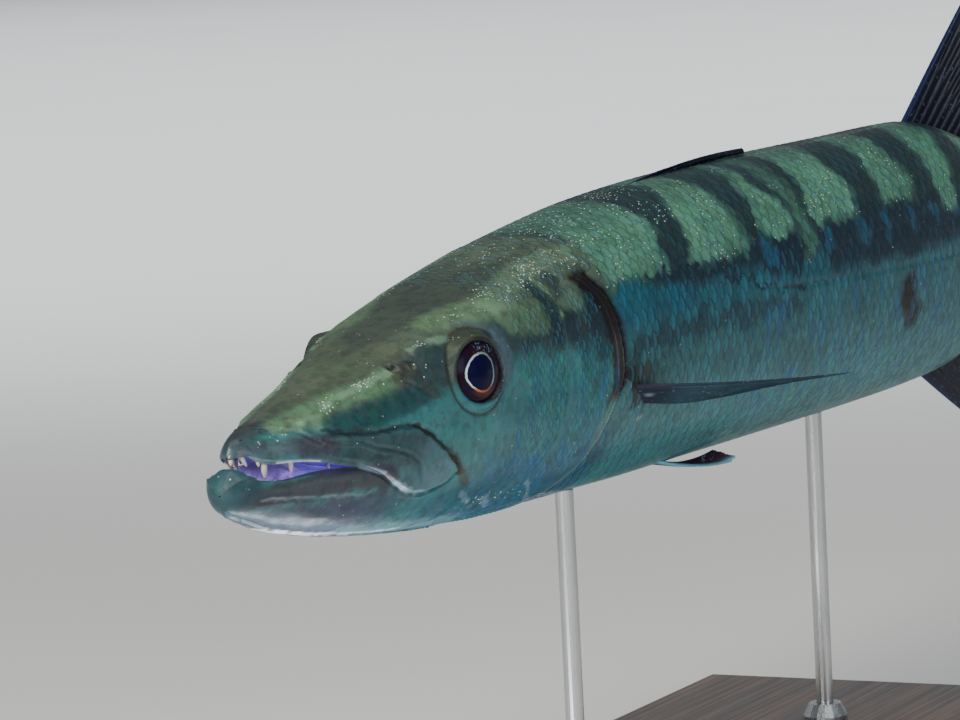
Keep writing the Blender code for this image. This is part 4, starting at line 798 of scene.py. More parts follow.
def paint(s, a, turn):
    """The coat's colour, with the painted shade and highlights among its strokes, and its marks (flecks of
    painted glint, silver, flow of streaks) at places on the skin.
    """
    wander_s = s + 0.0028 * waves(11, 0.030, s, a) + 0.0012 * waves(12, 0.008, s, a)
    wander_a = a + 0.0024 * waves(13, 0.026, s, a) + 0.0010 * waves(14, 0.007, s, a)
    fine_s = s + 0.0007 * waves(15, 0.010, s, a)
    fine_a = a + 0.0006 * waves(16, 0.009, s, a)
    degrees = np.degrees(turn)

    # Flank and belly, then the dark back with its light gaps
    flank = mix(np.broadcast_to(TEAL_PALE, s.shape + (3,)), TEAL, ease(wander_a, -0.055, -0.010))
    flank = mix(flank, tint(35, 96, 115), ease(wander_a, -0.004, 0.020) * 0.8)
    edge = 0.026 + 0.010 * ease(s, 0.40, 0.30) - 0.016 * ease(s, 0.50, 0.56) - 0.006 * ease(s, 0.72, 0.95)
    back = ease(wander_a - edge, -0.004, 0.006)
    dark = mix(np.broadcast_to(NAVY, s.shape + (3,)), BAR, ease(wander_a, 0.030, 0.050))
    flank = mix(flank, dark, back * 0.92)
    light = np.zeros_like(s)
    for strength, rows in LIGHT_GAPS:
        heights = [row[0] for row in rows][::-1]
        start = np.interp(wander_a, heights, [row[1] for row in rows][::-1])
        end = np.interp(wander_a, heights, [row[2] for row in rows][::-1])
        across = ease(wander_s - start, -0.0055, 0.0055) * ease(end - wander_s, -0.0055, 0.0055)
        up = ease(wander_a, heights[0] - 0.005, heights[0] + 0.004)
        up = up * (1 - ease(wander_a, 0.066, 0.094) * 0.55)
        light = np.maximum(light, across * up * strength)
    flank = mix(flank, GAP_LIGHT, light * 0.9)
    flank = brush(flank, wander_s, wander_a, TRUNK_STROKES)
    flank = mix(flank, TEAL_PALE * 1.15, 0.7 * (1 - ease(a, -0.098, -0.070)))

    # Head
    head = mix(np.broadcast_to(CHEEK, s.shape + (3,)), SLATE, ease(wander_a, 0.012, 0.026))
    head = mix(head, NAPE, ease(wander_a, 0.036, 0.050))
    head = mix(head, tint(52, 63, 83), (1 - ease(wander_a, -0.020, -0.008)) * (1 - ease(s, 0.08, 0.15)))
    head = mix(head, tint(41, 92, 110), (1 - ease(wander_a, -0.035, -0.020)) * ease(s, 0.10, 0.17))
    # The top of the head darker: partly its own darker colour, partly painted shade where it faces away from
    # the light
    crown = ease(wander_a, 0.046, 0.062) * ease(s, 0.07, 0.12) * (1 - ease(s, 0.21, 0.27))
    head = mix(head, CROWN, crown * 0.65)
    head = brush(head, fine_s, fine_a, HEAD_STROKES)
    head = brush(head, s, a, LIP_STROKES)
    colours = mix(head, flank, ease(wander_s, 0.286, 0.304))

    colours = paint_orbit(colours, s, turn)

    # The cover's dark margin, partly its own dark and partly painted shade on the cover beside the slot, the
    # pale edge below it, and the slot behind painted dark as shade
    behind, _ = cover_place(s, turn)
    margin = ease(behind, -0.0150, -0.0110) * (1 - ease(behind, 0.0060, 0.0090))
    side = ease(degrees, -16, -8) * (1 - ease(degrees, 44, 48))
    colours = mix(colours, MAROON, margin * side)
    low = ease(behind, -0.0024, -0.0014) * (1 - ease(behind, -0.0006, 0.0)) * (1 - ease(degrees, -16, -8))
    colours = mix(colours, ROSE_WHITE, low * 0.7 * ease(s, 0.20, 0.25))
    # Painted shade in the slot behind the cover
    slot = (behind > 0) * (1 - ease(behind, 0.002, 0.005)) * (1 - side) * (degrees < 47)
    colours = mix(colours, MAROON, slot * 0.85)

    # Flecks: painted glints of the wet skin in many small points, partly its own iridescent flecks
    glint_fleck = 0.35 * light
    glint_fleck = np.maximum(glint_fleck, 0.7 * ease(a, 0.058, 0.072) * ease(s, 0.21, 0.30) * (1 - ease(s, 0.37, 0.43)))
    for strength, radius, line in GLINTS:
        glint_fleck = np.maximum(glint_fleck, strength * (1 - ease(line_distance(line, s, a), 0.3 * radius, radius)))
    silver = 1 - 0.75 * back * ease(s, 0.29, 0.31) * (1 - light)
    streak = ease(s, 0.42, 0.46) * (1 - ease(a, 0.000, 0.014)) * ease(a, -0.070, -0.050)
    streak = np.maximum(streak, ease(s, 0.16, 0.20) * (1 - ease(a, 0.0, 0.02)) * (1 - ease(s, 0.28, 0.30)))
    return colours, np.stack([glint_fleck, silver, streak], axis=-1)


# Shaders
class Shader:
    """A material's nodes, built by name."""

    def __init__(self, name):
        self.material = bpy.data.materials.new(name)
        self.material.use_nodes = True
        self.tree = self.material.node_tree
        self.out = self.tree.nodes["Principled BSDF"]

    def node(self, kind, settings=None, **inputs):
        made = self.tree.nodes.new(kind)
        for name, value in (settings or {}).items():
            setattr(made, name, value)
        for name, value in inputs.items():
            self.feed(made.inputs[int(name[1:]) if name[0] == "i" and name[1:].isdigit() else name], value)
        return made

    def feed(self, socket, value):
        if hasattr(value, "is_linked"):
            self.tree.links.new(value, socket)
        else:
            socket.default_value = value

    def set(self, **values):
        for name, value in values.items():
            self.feed(self.out.inputs[name.replace("_", " ")], value)

    def attribute(self, name):
        return self.node("ShaderNodeAttribute", {"attribute_name": name}).outputs["Color"]

    def split(self, colour):
        parts = self.node("ShaderNodeSeparateColor", i0=colour)
        return parts.outputs[0], parts.outputs[1], parts.outputs[2]

    def math(self, operation, first, second=0.0, third=0.0, clamp=False):
        settings = {"operation": operation, "use_clamp": clamp}
        made = self.node("ShaderNodeMath", settings, i0=first, i1=second)
        self.feed(made.inputs[2], third)
        return made.outputs[0]

    def mix(self, share, under, over, blend="MIX"):
        settings = {"data_type": "RGBA", "blend_type": blend}
        made = self.node("ShaderNodeMix", settings, i0=share, i6=under, i7=over)
        return made.outputs[2]

    def scaled_place(self, stretch):
        place_node = self.node("ShaderNodeTexCoord").outputs["Object"]
        return self.node("ShaderNodeMapping", i0=place_node, i3=stretch).outputs[0]

    def noise(self, scale, stretch=(1, 1, 1), detail=3.0, roughness=0.55):
        made = self.node("ShaderNodeTexNoise", i0=self.scaled_place(stretch))
        for name, value in (("Scale", scale), ("Detail", detail), ("Roughness", roughness)):
            made.inputs[name].default_value = value
        return made.outputs[0]

    def cells(self, scale, stretch=(1, 1, 1), feature="F1"):
        made = self.node("ShaderNodeTexVoronoi", {"feature": feature}, i0=self.scaled_place(stretch))
        made.inputs["Scale"].default_value = scale
        return made

    def ramp(self, value, low, high, bottom=0.0, top=1.0):
        made = self.node("ShaderNodeMapRange", {"interpolation_type": "SMOOTHSTEP"}, i0=value)
        for index, number in ((1, low), (2, high), (3, bottom), (4, top)):
            self.feed(made.inputs[index], number)
        return made.outputs[0]

    def bump(self, height, distance, strength=1.0, under=None):
        made = self.node("ShaderNodeBump", Height=height, Distance=distance, Strength=strength)
        if under is not None:
            self.feed(made.inputs["Normal"], under)
        return made.outputs[0]


def rgba(colour):
    return (*[float(c) for c in colour], 1.0)


def hide_look(name, scaly):
    """The wet coat: painted markings, flecks of painted glint, blue streaks and silver, on skin or scales; on
    scales also painted glints and painted shadow at the free edges.
    """
    look = Shader(name)
    tone = look.attribute("tone")
    glint_fleck, silver, streak = look.split(look.attribute("marks"))

    # Mottling from blots down to pores, then thin upright streaks where the flank is silvery
    blots = look.noise(34, detail=4.0)
    tone = look.mix(look.ramp(blots, 0.40, 0.62, 0.0, 0.35), tone,
                    look.mix(0.55, tone, rgba(tint(20, 26, 30))))
    mottle = look.noise(190, detail=6.0, roughness=0.68)
    tone = look.mix(look.ramp(mottle, 0.44, 0.62, 0.0, 0.42), tone,
                    look.mix(0.70, tone, rgba(tint(8, 16, 26))))
    bright = look.noise(90, detail=6.0, roughness=0.7)
    tone = look.mix(look.ramp(bright, 0.50, 0.66, 0.0, 0.60), tone, rgba(tint(176, 206, 176)), "SOFT_LIGHT")
    rust = look.noise(300, detail=3.0)
    tone = look.mix(look.ramp(rust, 0.60, 0.70, 0.0, 0.35), tone, rgba(tint(82, 50, 36)))
    upright = look.noise(170, (1.0, 1.0, 0.20), detail=2.0)
    lines = look.math("MULTIPLY", look.ramp(upright, 0.52, 0.62), streak)
    tone = look.mix(look.math("MULTIPLY", lines, 0.42), tone, rgba(tint(24, 84, 132)))

    # Flecks: small broken cells painted gold-white or blue as glints of the wet skin, partly its own
    # iridescent flecks, in loose clusters
    cells = look.cells(900)
    pick = look.split(cells.outputs["Color"])
    size = look.ramp(cells.outputs["Distance"], 0.14, 0.42, 1.0, 0.0)
    cluster = look.ramp(look.noise(60, detail=4.0), 0.42, 0.60)
    wanted = look.math("MULTIPLY", glint_fleck, look.math("ADD", look.math("MULTIPLY", cluster, 0.50), 0.04))
    chance = look.ramp(look.math("ADD", pick[0], wanted), 0.985, 1.01)
    sparkle = look.math("MULTIPLY", size, chance)
    flash = look.mix(look.ramp(pick[1], 0.3, 0.7), rgba(tint(255, 252, 222)), rgba(tint(170, 226, 226)))
    tone = look.mix(sparkle, tone, flash)

    rough = look.ramp(look.noise(240), 0.3, 0.7, 0.36, 0.52)
    metal = look.math("MULTIPLY", silver, 0.25)
    if scaly:
        along, _, pick_scale = look.split(look.attribute("scale_place"))
        glint = look.math("MULTIPLY", look.ramp(along, 0.62, 0.78), look.ramp(along, 0.82, 0.90, 1.0, 0.0))
        picked = look.math("MULTIPLY", look.ramp(pick_scale, 0.35, 0.75), silver)
        tone = look.mix(look.math("MULTIPLY", look.math("MULTIPLY", glint, picked), 0.36), tone,
                        look.mix(0.6, tone, rgba(tint(60, 140, 176))))
        # Painted shadow along each scale's free edge
        rim = look.ramp(along, 0.86, 0.95)
        tone = look.mix(look.math("MULTIPLY", rim, 0.40), tone, look.mix(0.80, tone, rgba(tint(4, 12, 26))))
        value = look.ramp(pick_scale, 0.0, 1.0, 0.94, 1.06)
        shade = look.node("ShaderNodeCombineColor", i0=value, i1=value, i2=value).outputs[0]
        tone = look.mix(1.0, tone, shade, "MULTIPLY")
        rings = look.math("SINE", look.math("MULTIPLY", along, 130.0))
        height = look.math("ADD", look.math("MULTIPLY", rings, 0.25), mottle)
        normal = look.bump(height, 0.00006, 0.5)
        metal = look.math("ADD", metal, look.math("MULTIPLY", pick_scale, 0.10))
    else:
        grain = look.noise(900, detail=4.0)
        pores = look.ramp(look.cells(260).outputs["Distance"], 0.05, 0.22)
        tone = look.mix(look.ramp(pores, 0.0, 0.6, 0.35, 0.0), tone,
                        look.mix(0.7, tone, rgba(tint(8, 12, 20))))
        height = look.math("ADD", look.math("MULTIPLY", grain, 0.6), pores)
        normal = look.bump(height, 0.00012, 0.45, look.bump(look.noise(90), 0.0008, 0.30))
    look.set(Base_Color=tone, Roughness=rough, Metallic=metal, Normal=normal)
    look.set(Coat_Weight=0.12, Coat_Roughness=0.10, Specular_IOR_Level=0.28)
    return look.material


def mouth_look():
    """The mouth's lining: wet, blue-violet with dark veins, letting a little light through, and with a faint
    painted glow that lights its shaded inside.
    """
    look = Shader("mouth_lining")
    tone = look.attribute("tone")
    veins = look.ramp(look.noise(220, detail=5.0), 0.40, 0.62)
    tone = look.mix(look.math("MULTIPLY", veins, 0.45), tone, look.mix(0.6, tone, rgba(tint(24, 10, 30))))
    folds = look.bump(look.noise(130, (1, 2.5, 1), detail=4.0), 0.0008, 0.6)
    # The emission is painted light: a faint glow that lifts the lining out of the mouth's shade
    look.set(Base_Color=tone, Roughness=0.24, Normal=folds, Coat_Weight=0.7, Coat_Roughness=0.08,
             Subsurface_Weight=0.35, Emission_Color=tone, Emission_Strength=0.20)
    look.out.inputs["Subsurface Radius"].default_value = (0.004, 0.0015, 0.002)
    return look.material


def eye_look():
    """A dark iris with a thin bright ring round an egg-shaped pupil, under a clear glossy front."""
    look = Shader("eye_surface")
    ring_at, tail, rise = look.split(look.attribute("eye_place"))
    ring_at = look.math("MULTIPLY", ring_at, 4.0)
    uneven = look.math("MULTIPLY", look.math("SUBTRACT", look.noise(420), 0.5), 0.12)
    ring_at = look.math("ADD", ring_at, uneven)
    rays = look.noise(330, detail=5.0)
    iris = look.mix(rays, rgba(tint(12, 6, 22)), rgba(tint(30, 16, 46)))
    iris = look.mix(look.ramp(look.noise(120), 0.45, 0.65, 0.0, 0.7), iris, rgba(tint(36, 10, 18)))
    # Pale fibres at the top of the iris, partly a painted highlight
    fibres = look.ramp(look.noise(800), 0.52, 0.66, 0.0, 0.8)
    high = look.math("MULTIPLY", look.ramp(rise, 0.66, 0.84), look.ramp(tail, 0.40, 0.60))
    iris = look.mix(look.math("MULTIPLY", fibres, high), iris, rgba(tint(120, 150, 170)))
    low = look.math("MULTIPLY", look.ramp(rise, 0.30, 0.22), look.ramp(ring_at, 1.5, 1.2))
    iris = look.mix(look.math("MULTIPLY", low, 0.25), iris, rgba(tint(120, 64, 34)))
    inner = look.math("MULTIPLY", look.ramp(ring_at, 0.98, 1.02), look.ramp(ring_at, 1.06, 1.16, 1.0, 0.0))
    front = look.ramp(tail, 0.62, 0.34, 0.40, 1.0)
    ring = look.mix(look.ramp(rise, 0.36, 0.26), rgba(tint(206, 232, 236)), rgba(tint(190, 122, 70)))
    iris = look.mix(look.math("MULTIPLY", inner, front), iris, ring)
    tone = look.mix(look.ramp(ring_at, 0.96, 1.01, 1.0, 0.0), iris, rgba(tint(10, 6, 44)))
    look.set(Base_Color=tone, Metallic=look.math("MULTIPLY", inner, 0.6), Roughness=0.30, Coat_Weight=0.05,
             Coat_Roughness=0.03, Specular_IOR_Level=0.06)
    return look.material


def tooth_look():
    look = Shader("tooth_enamel")
    grain = look.noise(500, (1, 1, 0.2))
    tone = look.mix(grain, rgba(tint(232, 226, 214)), rgba(tint(206, 200, 196)))
    root = look.split(look.attribute("tooth_place"))[0]
    tone = look.mix(look.ramp(root, 0.02, 0.30, 0.7, 0.0), tone, rgba(tint(150, 112, 116)))
    look.set(Base_Color=tone, Roughness=look.ramp(grain, 0.2, 0.8, 0.16, 0.28), Subsurface_Weight=0.15)
    look.set(Coat_Weight=0.6, Coat_Roughness=0.06)
    look.out.inputs["Subsurface Radius"].default_value = (0.0012, 0.0010, 0.0008)
    return look.material


# Building the skin
def mirrored(grid):
    return grid * [1, -1, 1]


def build_skin(look, lining):
    """The one skin of the head and body, with the mouth's lining, both halves welded."""
    upper, lower, roof, floor = skin_sheets()
    points, faces, tones, marks, inside = [], [], [], [], []
    start = 0
    for grid, places, turn in (upper, lower):
        colours, mark = paint(places[..., 0], places[..., 1], turn)
        for half in (grid, mirrored(grid)):
            points.append(half.reshape(-1, 3))
            tones.append(colours.reshape(-1, 3))
            marks.append(mark.reshape(-1, 3))
            inside.append(np.zeros(half.shape[0] * half.shape[1]))
            faces.append(grid_faces(*half.shape[:2], start, half is not grid))
            start += half.shape[0] * half.shape[1]
    for (grid, places, inward), edge_turn in ((roof, upper[2][:, -1]), (floor, lower[2][:, 0])):
        turn = np.broadcast_to(edge_turn[:len(grid), None], grid.shape[:2])
        colours = mouth_colours(grid, places, turn, inward, grid is roof[0])
        tucked = np.broadcast_to((inward > 0.001) & (grid[:, :1, 0] > 0.0185), grid.shape[:2]).astype(float)
        for half in (grid, mirrored(grid)):
            points.append(half.reshape(-1, 3))
            tones.append(colours.reshape(-1, 3))
            marks.append(np.zeros((half.shape[0] * half.shape[1], 3)))
            inside.append(tucked.ravel())
            faces.append(grid_faces(*half.shape[:2], start, (half is grid) == (grid is roof[0])))
            start += half.shape[0] * half.shape[1]
    values = np.concatenate(tones), np.concatenate(marks), np.concatenate(inside)
    points, quads, tris, facts = weld(np.concatenate(points), np.concatenate(faces), *values)
    tones, marks, inside = facts
    skin = make_mesh("skin", place(points), quads, tris, {"tone": tones, "marks": marks}, None, look)
    skin.data.materials.append(lining)
    lined = np.concatenate([inside[quads].mean(axis=1), inside[tris].mean(axis=1)]) >= 0.5
    skin.data.polygons.foreach_set("material_index", lined.astype(np.int32))
    return skin


def mouth_colours(grid, places, turn, inward, upper):
    """The skin's own colours run over the lip, then a blue-violet lining, painted dark red as shade deep in
    front, with a painted highlight on the tongue.
    """
    s = grid[..., 0]
    outside, _ = paint(places[..., 0], places[..., 1], turn)
    # Painted shade: the lining turns dark red deep in the mouth, towards the front
    base = mix(np.broadcast_to(CAVITY_SHADE, s.shape + (3,)), MEMBRANE, ease(s, 0.030, 0.040))
    if upper:
        base = mix(base, CAVITY_SHADE, 1 - ease(s, 0.042, 0.056))
        return mix(outside, base, ease(inward, 0.04, 0.14) * np.ones_like(s))
    base = mix(base, CAVITY_SHADE, ease(inward, 0.35, 0.75) * (1 - ease(s, 0.060, 0.075)))
    tongue = tongue_share(s, inward)
    base = mix(base, TONGUE, ease(tongue, 0.10, 0.45))
    # A painted highlight on the tongue
    gleam = np.maximum(hump(s - 0.046, 0.005), ease(s, 0.056, 0.066))
    base = mix(base, MEMBRANE_HIGHLIGHT, gleam * ease(tongue, 0.3, 0.9) * 0.85)
    return mix(outside, base, ease(inward, 0.04, 0.12) * ease(s, 0.0185, 0.0225))


def skin_nodes():
    names = ["head", "lower_jaw", "trunk_front", "trunk_rear", "tail_stalk"]
    for word in ("left", "right"):
        names += [f"upper_lip_{word}", f"gill_cover_{word}"]
    return names


# Eyes and teeth
PUPIL_HALF_SIZE = (0.0087, 0.0081)
PUPIL_SHIFT = (-0.0013, -0.0004)
EYE_RINGS = 64
EYE_SEGMENTS = 96
TOOTH_RINGS = 14
TOOTH_SEGMENTS = 16


def build_eye(word, side, look):
    """A flattened oval eyeball, whose pupil is an egg with its narrow end forward."""
    middle, out, back, rise = eye_axes()
    polar = np.linspace(0, np.pi, EYE_RINGS)[:, None]
    round_it = np.linspace(0, 2 * np.pi, EYE_SEGMENTS + 1)[None, :]
    x = EYE_HALF_SIZE[0] * np.sin(polar) * np.cos(round_it)
    y = EYE_HALF_SIZE[1] * np.sin(polar) * np.sin(round_it)
    deep = EYE_HALF_SIZE[2] * np.cos(polar) * np.ones_like(round_it)
    tail = (x - PUPIL_SHIFT[0]) / PUPIL_HALF_SIZE[0]
    up = (y - PUPIL_SHIFT[1]) / PUPIL_HALF_SIZE[1]
    ring_at = np.hypot(tail, up / (1 + 0.20 * np.clip(tail, -1.5, 1.5)))
    deep = deep + 0.0006 * (1 - ease(ring_at, 0.2, 1.0)) * (deep > 0)
    grid = middle + x[..., None] * back + y[..., None] * rise + deep[..., None] * out
    grid[:, -1] = grid[:, 0]
    grid[0], grid[-1] = grid[0, 0], grid[-1, 0]
    facts = np.stack([ring_at / 4, 0.5 + 0.25 * tail, 0.5 + 0.25 * up], axis=-1)
    grid = grid * [1, side, 1]
    faces = grid_faces(EYE_RINGS, EYE_SEGMENTS + 1, 0, side < 0)
    points, quads, tris, (facts,) = weld(grid.reshape(-1, 3), faces,
                                         facts.reshape(-1, 3))
    eye = make_mesh(f"eyeball_{word}", place(points), quads, tris, {"eye_place": facts}, None, look)
    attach(eye, "root")
    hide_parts(f"eye_{word}")
    return eye


def tooth_grid(s, w, gum, length, back, out, up):
    """A blade whose edges curve to a point, from a root sunk in the gum, on the left side."""
    t = np.linspace(-0.10, 1.0, TOOTH_RINGS)[:, None]
    thick = np.sqrt(np.clip(1 - np.clip(t, 0, 1) ** 1.5, 0.0, 1.0))
    round_it = np.linspace(0, 2 * np.pi, TOOTH_SEGMENTS + 1)[None, :]
    along = (0.0007 + 0.19 * length) * thick * np.cos(round_it)
    across = (0.0005 + 0.11 * length) * thick * np.sin(round_it)
    bend = t + 0.5 * np.clip(t, 0, 1) ** 2
    height = gum + up * length * t
    grid = np.stack([s + along + back * length * bend, w + across + out * length * bend,
                     height + 0 * along], axis=-1)
    grid[:, -1] = grid[:, 0]
    grid[-1] = grid[-1].mean(axis=0)
    return grid, np.repeat(np.clip(t, 0, 1), TOOTH_SEGMENTS + 1, axis=1)


def build_teeth(look):
    """Flattened pointed teeth, each rooted in its gum and leaning a little back."""
    points, faces, facts = [], [], []
    start = 0
    for table, up in ((UPPER_TEETH, -1), (LOWER_TEETH, 1)):
        upper_jaw = (UPPER_LIP, PALATE_RISE, PALATE_SLOPE)
        line, rise, slope = upper_jaw if up < 0 else (LOWER_LIP, FLOOR_RISE, FLOOR_SLOPE)
        for s, share, length, back, out, only in table:
            lip = float(smooth(line, s))
            w = float(half_width_at(s, lip)) * share
            if up < 0:
                w *= float(smooth(UPPER_JAW_SHARE, s))
            gum = lip + float(smooth(rise, s)) * float(ease(1 - share, 0.0, slope))
            grid, height = tooth_grid(s, w, gum, length, back, out, up)
            for side in (1, -1):
                if only not in (0, side):
                    continue
                points.append((grid * [1, side, 1]).reshape(-1, 3))
                facts.append(height.reshape(-1, 1))
                faces.append(grid_faces(*height.shape, start, (side < 0) == (up < 0)))
                start += height.size
    points, quads, tris, (facts,) = weld(np.concatenate(points), np.concatenate(faces), np.concatenate(facts))
    facts = np.repeat(facts, 3, axis=1)
    teeth = make_mesh("teeth", place(points), quads, tris, {"tooth_place": facts}, None, look)
    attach(teeth, "root")
    return teeth


# Fins
FIRST_DORSAL_BASE = (0.4040, 0.4760)
FIRST_DORSAL_REACH = (0.5470, 0.5490)
FIRST_DORSAL_RISE = (0.0030, 0.0008)
FIRST_DORSAL_BOW = (0.0026, 0.0008)
SECOND_DORSAL_BASE = (0.7300, 0.8110)
ANAL_BASE = (0.7370, 0.8110)
SECOND_DORSAL_TIPS = [(0, 0.8180, 0.1520), (0.12, 0.8270, 0.1530), (0.22, 0.8280, 0.1400),
                      (0.4, 0.8270, 0.1190), (0.6, 0.8295, 0.1030), (0.8, 0.8370, 0.0895),
                      (1, 0.8540, 0.0770)]
ANAL_TIPS = [(0, 0.8260, -0.1100), (0.12, 0.8340, -0.1110), (0.22, 0.8335, -0.1020), (0.4, 0.8310, -0.0880),
             (0.6, 0.8325, -0.0780), (0.8, 0.8390, -0.0690), (1, 0.8550, -0.0600)]
TAIL_REACH = [(0, 1.0680), (0.08, 1.0740), (0.22, 1.0920), (0.38, 1.1020), (0.52, 1.1060), (0.7, 1.1220),
              (0.88, 1.1430), (1, 1.1560)]
TAIL_SPREAD = [(0, 0.0), (0.22, 0.0200), (0.38, 0.0370), (0.52, 0.0530), (0.7, 0.0760), (0.88, 0.1020),
               (1, 0.1190)]
PECTORAL_ROOT = ((0.3118, -10.0), (0.3255, -19.5))
PECTORAL_OUTWARD = [(0, 50), (1, 34)]
PECTORAL_UPWARD = [(0, -0.8), (1, -3.6)]
PECTORAL_LENGTHS = [(0, 0.1105), (0.12, 0.1060), (0.35, 0.0830), (0.6, 0.0610), (1, 0.0400)]
PECTORAL_BOW = (0.0, 0.0016, -0.0014)
PELVIC_ROOT = ((0.4020, -71.0), (0.4170, -82.0))
PELVIC_OUTWARD = [(0, 3), (1, 17)]
PELVIC_UPWARD = [(0, -8.5), (0.5, -4.8), (1, 0.0)]
PELVIC_LENGTHS = [(0, 0.0790), (0.2, 0.0770), (0.5, 0.0680), (0.8, 0.0560), (1, 0.0460)]
PELVIC_BOW = (0.0, 0.0, -0.0030)
FIN_ROOT_SUNK = 0.0016
JOINTS = 22


def columns_of(table, share):
    """The two curves of a table of (share, first, second), read at the given shares."""
    first = smooth([(row[0], row[1]) for row in table], share)
    return first, smooth([(row[0], row[2]) for row in table], share)


def fin_sheet(roots, tips, bow, rows, rays, halves, spines=0):
    """A fin's middle surface and its half thickness: each ray is a ridge that forks farther out."""
    columns = len(roots)
    share = np.linspace(0, 1, columns)[None, :]
    t = np.linspace(0, 1, rows)[:, None]
    grid = roots[None] + (tips - roots)[None] * t[..., None] + bow[None] * (t * (1 - t) * 4)[..., None]
    phase = share * (rays - 1)
    whole = np.abs(np.cos(np.pi * phase)) ** 3
    forked = np.abs(np.cos(2 * np.pi * phase)) ** 3 * 0.8
    fine = np.abs(np.cos(4 * np.pi * phase)) ** 3 * 0.6
    crest = whole + (forked - whole) * ease(t, 0.34, 0.52) + (fine - forked) * ease(t, 0.66, 0.84)
    spine = phase < spines
    crest = np.where(spine, np.abs(np.cos(np.pi * phase)) ** 2 * (1 + 0 * t), crest)
    ringed = ease(np.abs(np.cos(np.pi * t * JOINTS + 2.0 * phase)), 0.90, 1.0)
    joints = 1 - 0.16 * ringed * ease(t, 0.15, 0.30)
    root_half, tip_half = halves
    half = root_half + (tip_half - root_half) * t ** 0.7
    half = half * (0.34 + 0.66 * crest * joints)
    edge = np.minimum(share, 1 - share) * columns
    half = half * (0.45 + 0.55 * ease(edge, 0.0, 3.0))
    return grid, half, crest * joints, t + 0 * share, share + 0 * t


def fin_edge(t, share, rays, depth, seed):
    """The outer edge is scalloped between the rays and a little frayed."""
    phase = share * (rays - 1)
    frayed = 0.5 + 0.5 * waves(seed, 0.06, share, share * 0.3)
    return depth * t ** 3 * (0.5 * np.abs(np.sin(np.pi * phase)) + 0.5 * frayed)


def close_fin(name, replaced, grid, half, facts, look, side=1):
    """Both faces of a fin with a rounded rim, from its middle surface and half thickness."""
    normal = grid_normals(grid)
    left, right = grid + normal * half[..., None], grid - normal * half[..., None]
    rows, columns = half.shape
    count = rows * columns
    around = np.concatenate([np.arange(columns), columns - 1 + columns * np.arange(1, rows),
                             count - 2 - np.arange(columns - 1), columns * np.arange(rows - 2, 0, -1)])
    ahead = np.roll(around, -1)
    rim = np.stack([around, ahead, ahead + count, around + count], axis=1)
    faces = np.concatenate([grid_faces(rows, columns, 0, True), grid_faces(rows, columns, count), rim])
    if side < 0:
        faces = faces[:, ::-1]
    points = np.concatenate([left.reshape(-1, 3), right.reshape(-1, 3)]) * [1, side, 1]
    tone, ridge = facts
    tones = np.concatenate([tone.reshape(-1, 3)] * 2)
    ridges = np.repeat(np.concatenate([ridge.reshape(-1, 1)] * 2), 3, axis=1)
    fin = make_mesh(name, place(points), faces, None, {"tone": tones, "ridge": ridges}, None, look)
    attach(fin, "root")
    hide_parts(replaced)
    return fin


def fin_tones(base, edge_colour, tip_colour, t, share, crest, edge_at, tip_at):
    """Dark between the rays, paler on them, with a pale leading edge and a pale tip."""
    tone = np.broadcast_to(base, t.shape + (3,)) * (0.72 + 0.34 * crest)[..., None]
    tone = mix(tone, base * 0.45, ease(waves(31, 0.16, t, share * 2), 0.4, 1.4) * 0.6)
    tone = mix(tone, edge_colour, (1 - ease(share, 0.0, edge_at)) * 0.75)
    return mix(tone, tip_colour, ease(t, tip_at, 1.0) * (1 - ease(share, 0.25, 0.6)) * 0.9)


def build_midline_fin(name, base, table, edge_line, sign, rays, rows, columns, halves, bow, look):
    """The second dorsal fin or the anal fin, on the middle plane."""
    share = np.linspace(0, 1, columns)
    s = base[0] + (base[1] - base[0]) * share
    flat = np.zeros_like(s)
    tip_s, tip_z = columns_of(table, share)
    roots = np.stack([s, flat, smooth(edge_line, s) - sign * FIN_ROOT_SUNK], axis=1)
    tips = np.stack([tip_s, flat, tip_z], axis=1)
    lean = np.stack([flat, flat, flat + sign * bow], axis=1)
    grid, half, crest, t, across = fin_sheet(roots, tips, lean, rows, rays, halves, 1)
    grid[..., 0] -= fin_edge(t, across, rays, 0.0030, 41) * ease(across, 0.06, 0.2)
    tone = fin_tones(FIN_DARK, FIN_EDGE, FIN_TIP, t, across, crest, 0.10, 0.86)
    close_fin(f"{name}_rays", name, grid, half, (tone, crest), look)


def build_first_dorsal(look):
    """Five spines folded down along the back, with the membrane slack between them."""
    rays, rows, columns = 5, 60, 41
    share = np.linspace(0, 1, columns)
    flat = np.zeros_like(share)
    s = FIRST_DORSAL_BASE[0] + (FIRST_DORSAL_BASE[1] - FIRST_DORSAL_BASE[0]) * share
    lift = float(smooth(BACK_LINE, FIRST_DORSAL_REACH[0]))
    roots = np.stack([s, flat, smooth(BACK_LINE, s) - FIN_ROOT_SUNK], axis=1)
    tips = np.stack([np.interp(share, [0, 1], FIRST_DORSAL_REACH), flat,
                     lift + np.interp(share, [0, 1], FIRST_DORSAL_RISE)], axis=1)
    bow = np.stack([flat, flat, np.interp(share, [0, 1], FIRST_DORSAL_BOW)], axis=1)
    grid, half, crest, t, across = fin_sheet(roots, tips, bow, rows, rays, (0.0015, 0.0007), rays)
    slack = np.abs(np.sin(np.pi * across * (rays - 1)))
    grid[..., 2] -= 0.0010 * slack * t
    grid[..., 1] += 0.0005 * np.sin(np.pi * across * (rays - 1)) * t
    tone = fin_tones(FIN_DARK * 0.8, FIN_EDGE, FIN_DARK, t, across, crest, 0.04, 0.9)
    close_fin("first_dorsal_spines", "dorsal_fin_first", grid, half, (tone, crest), look)


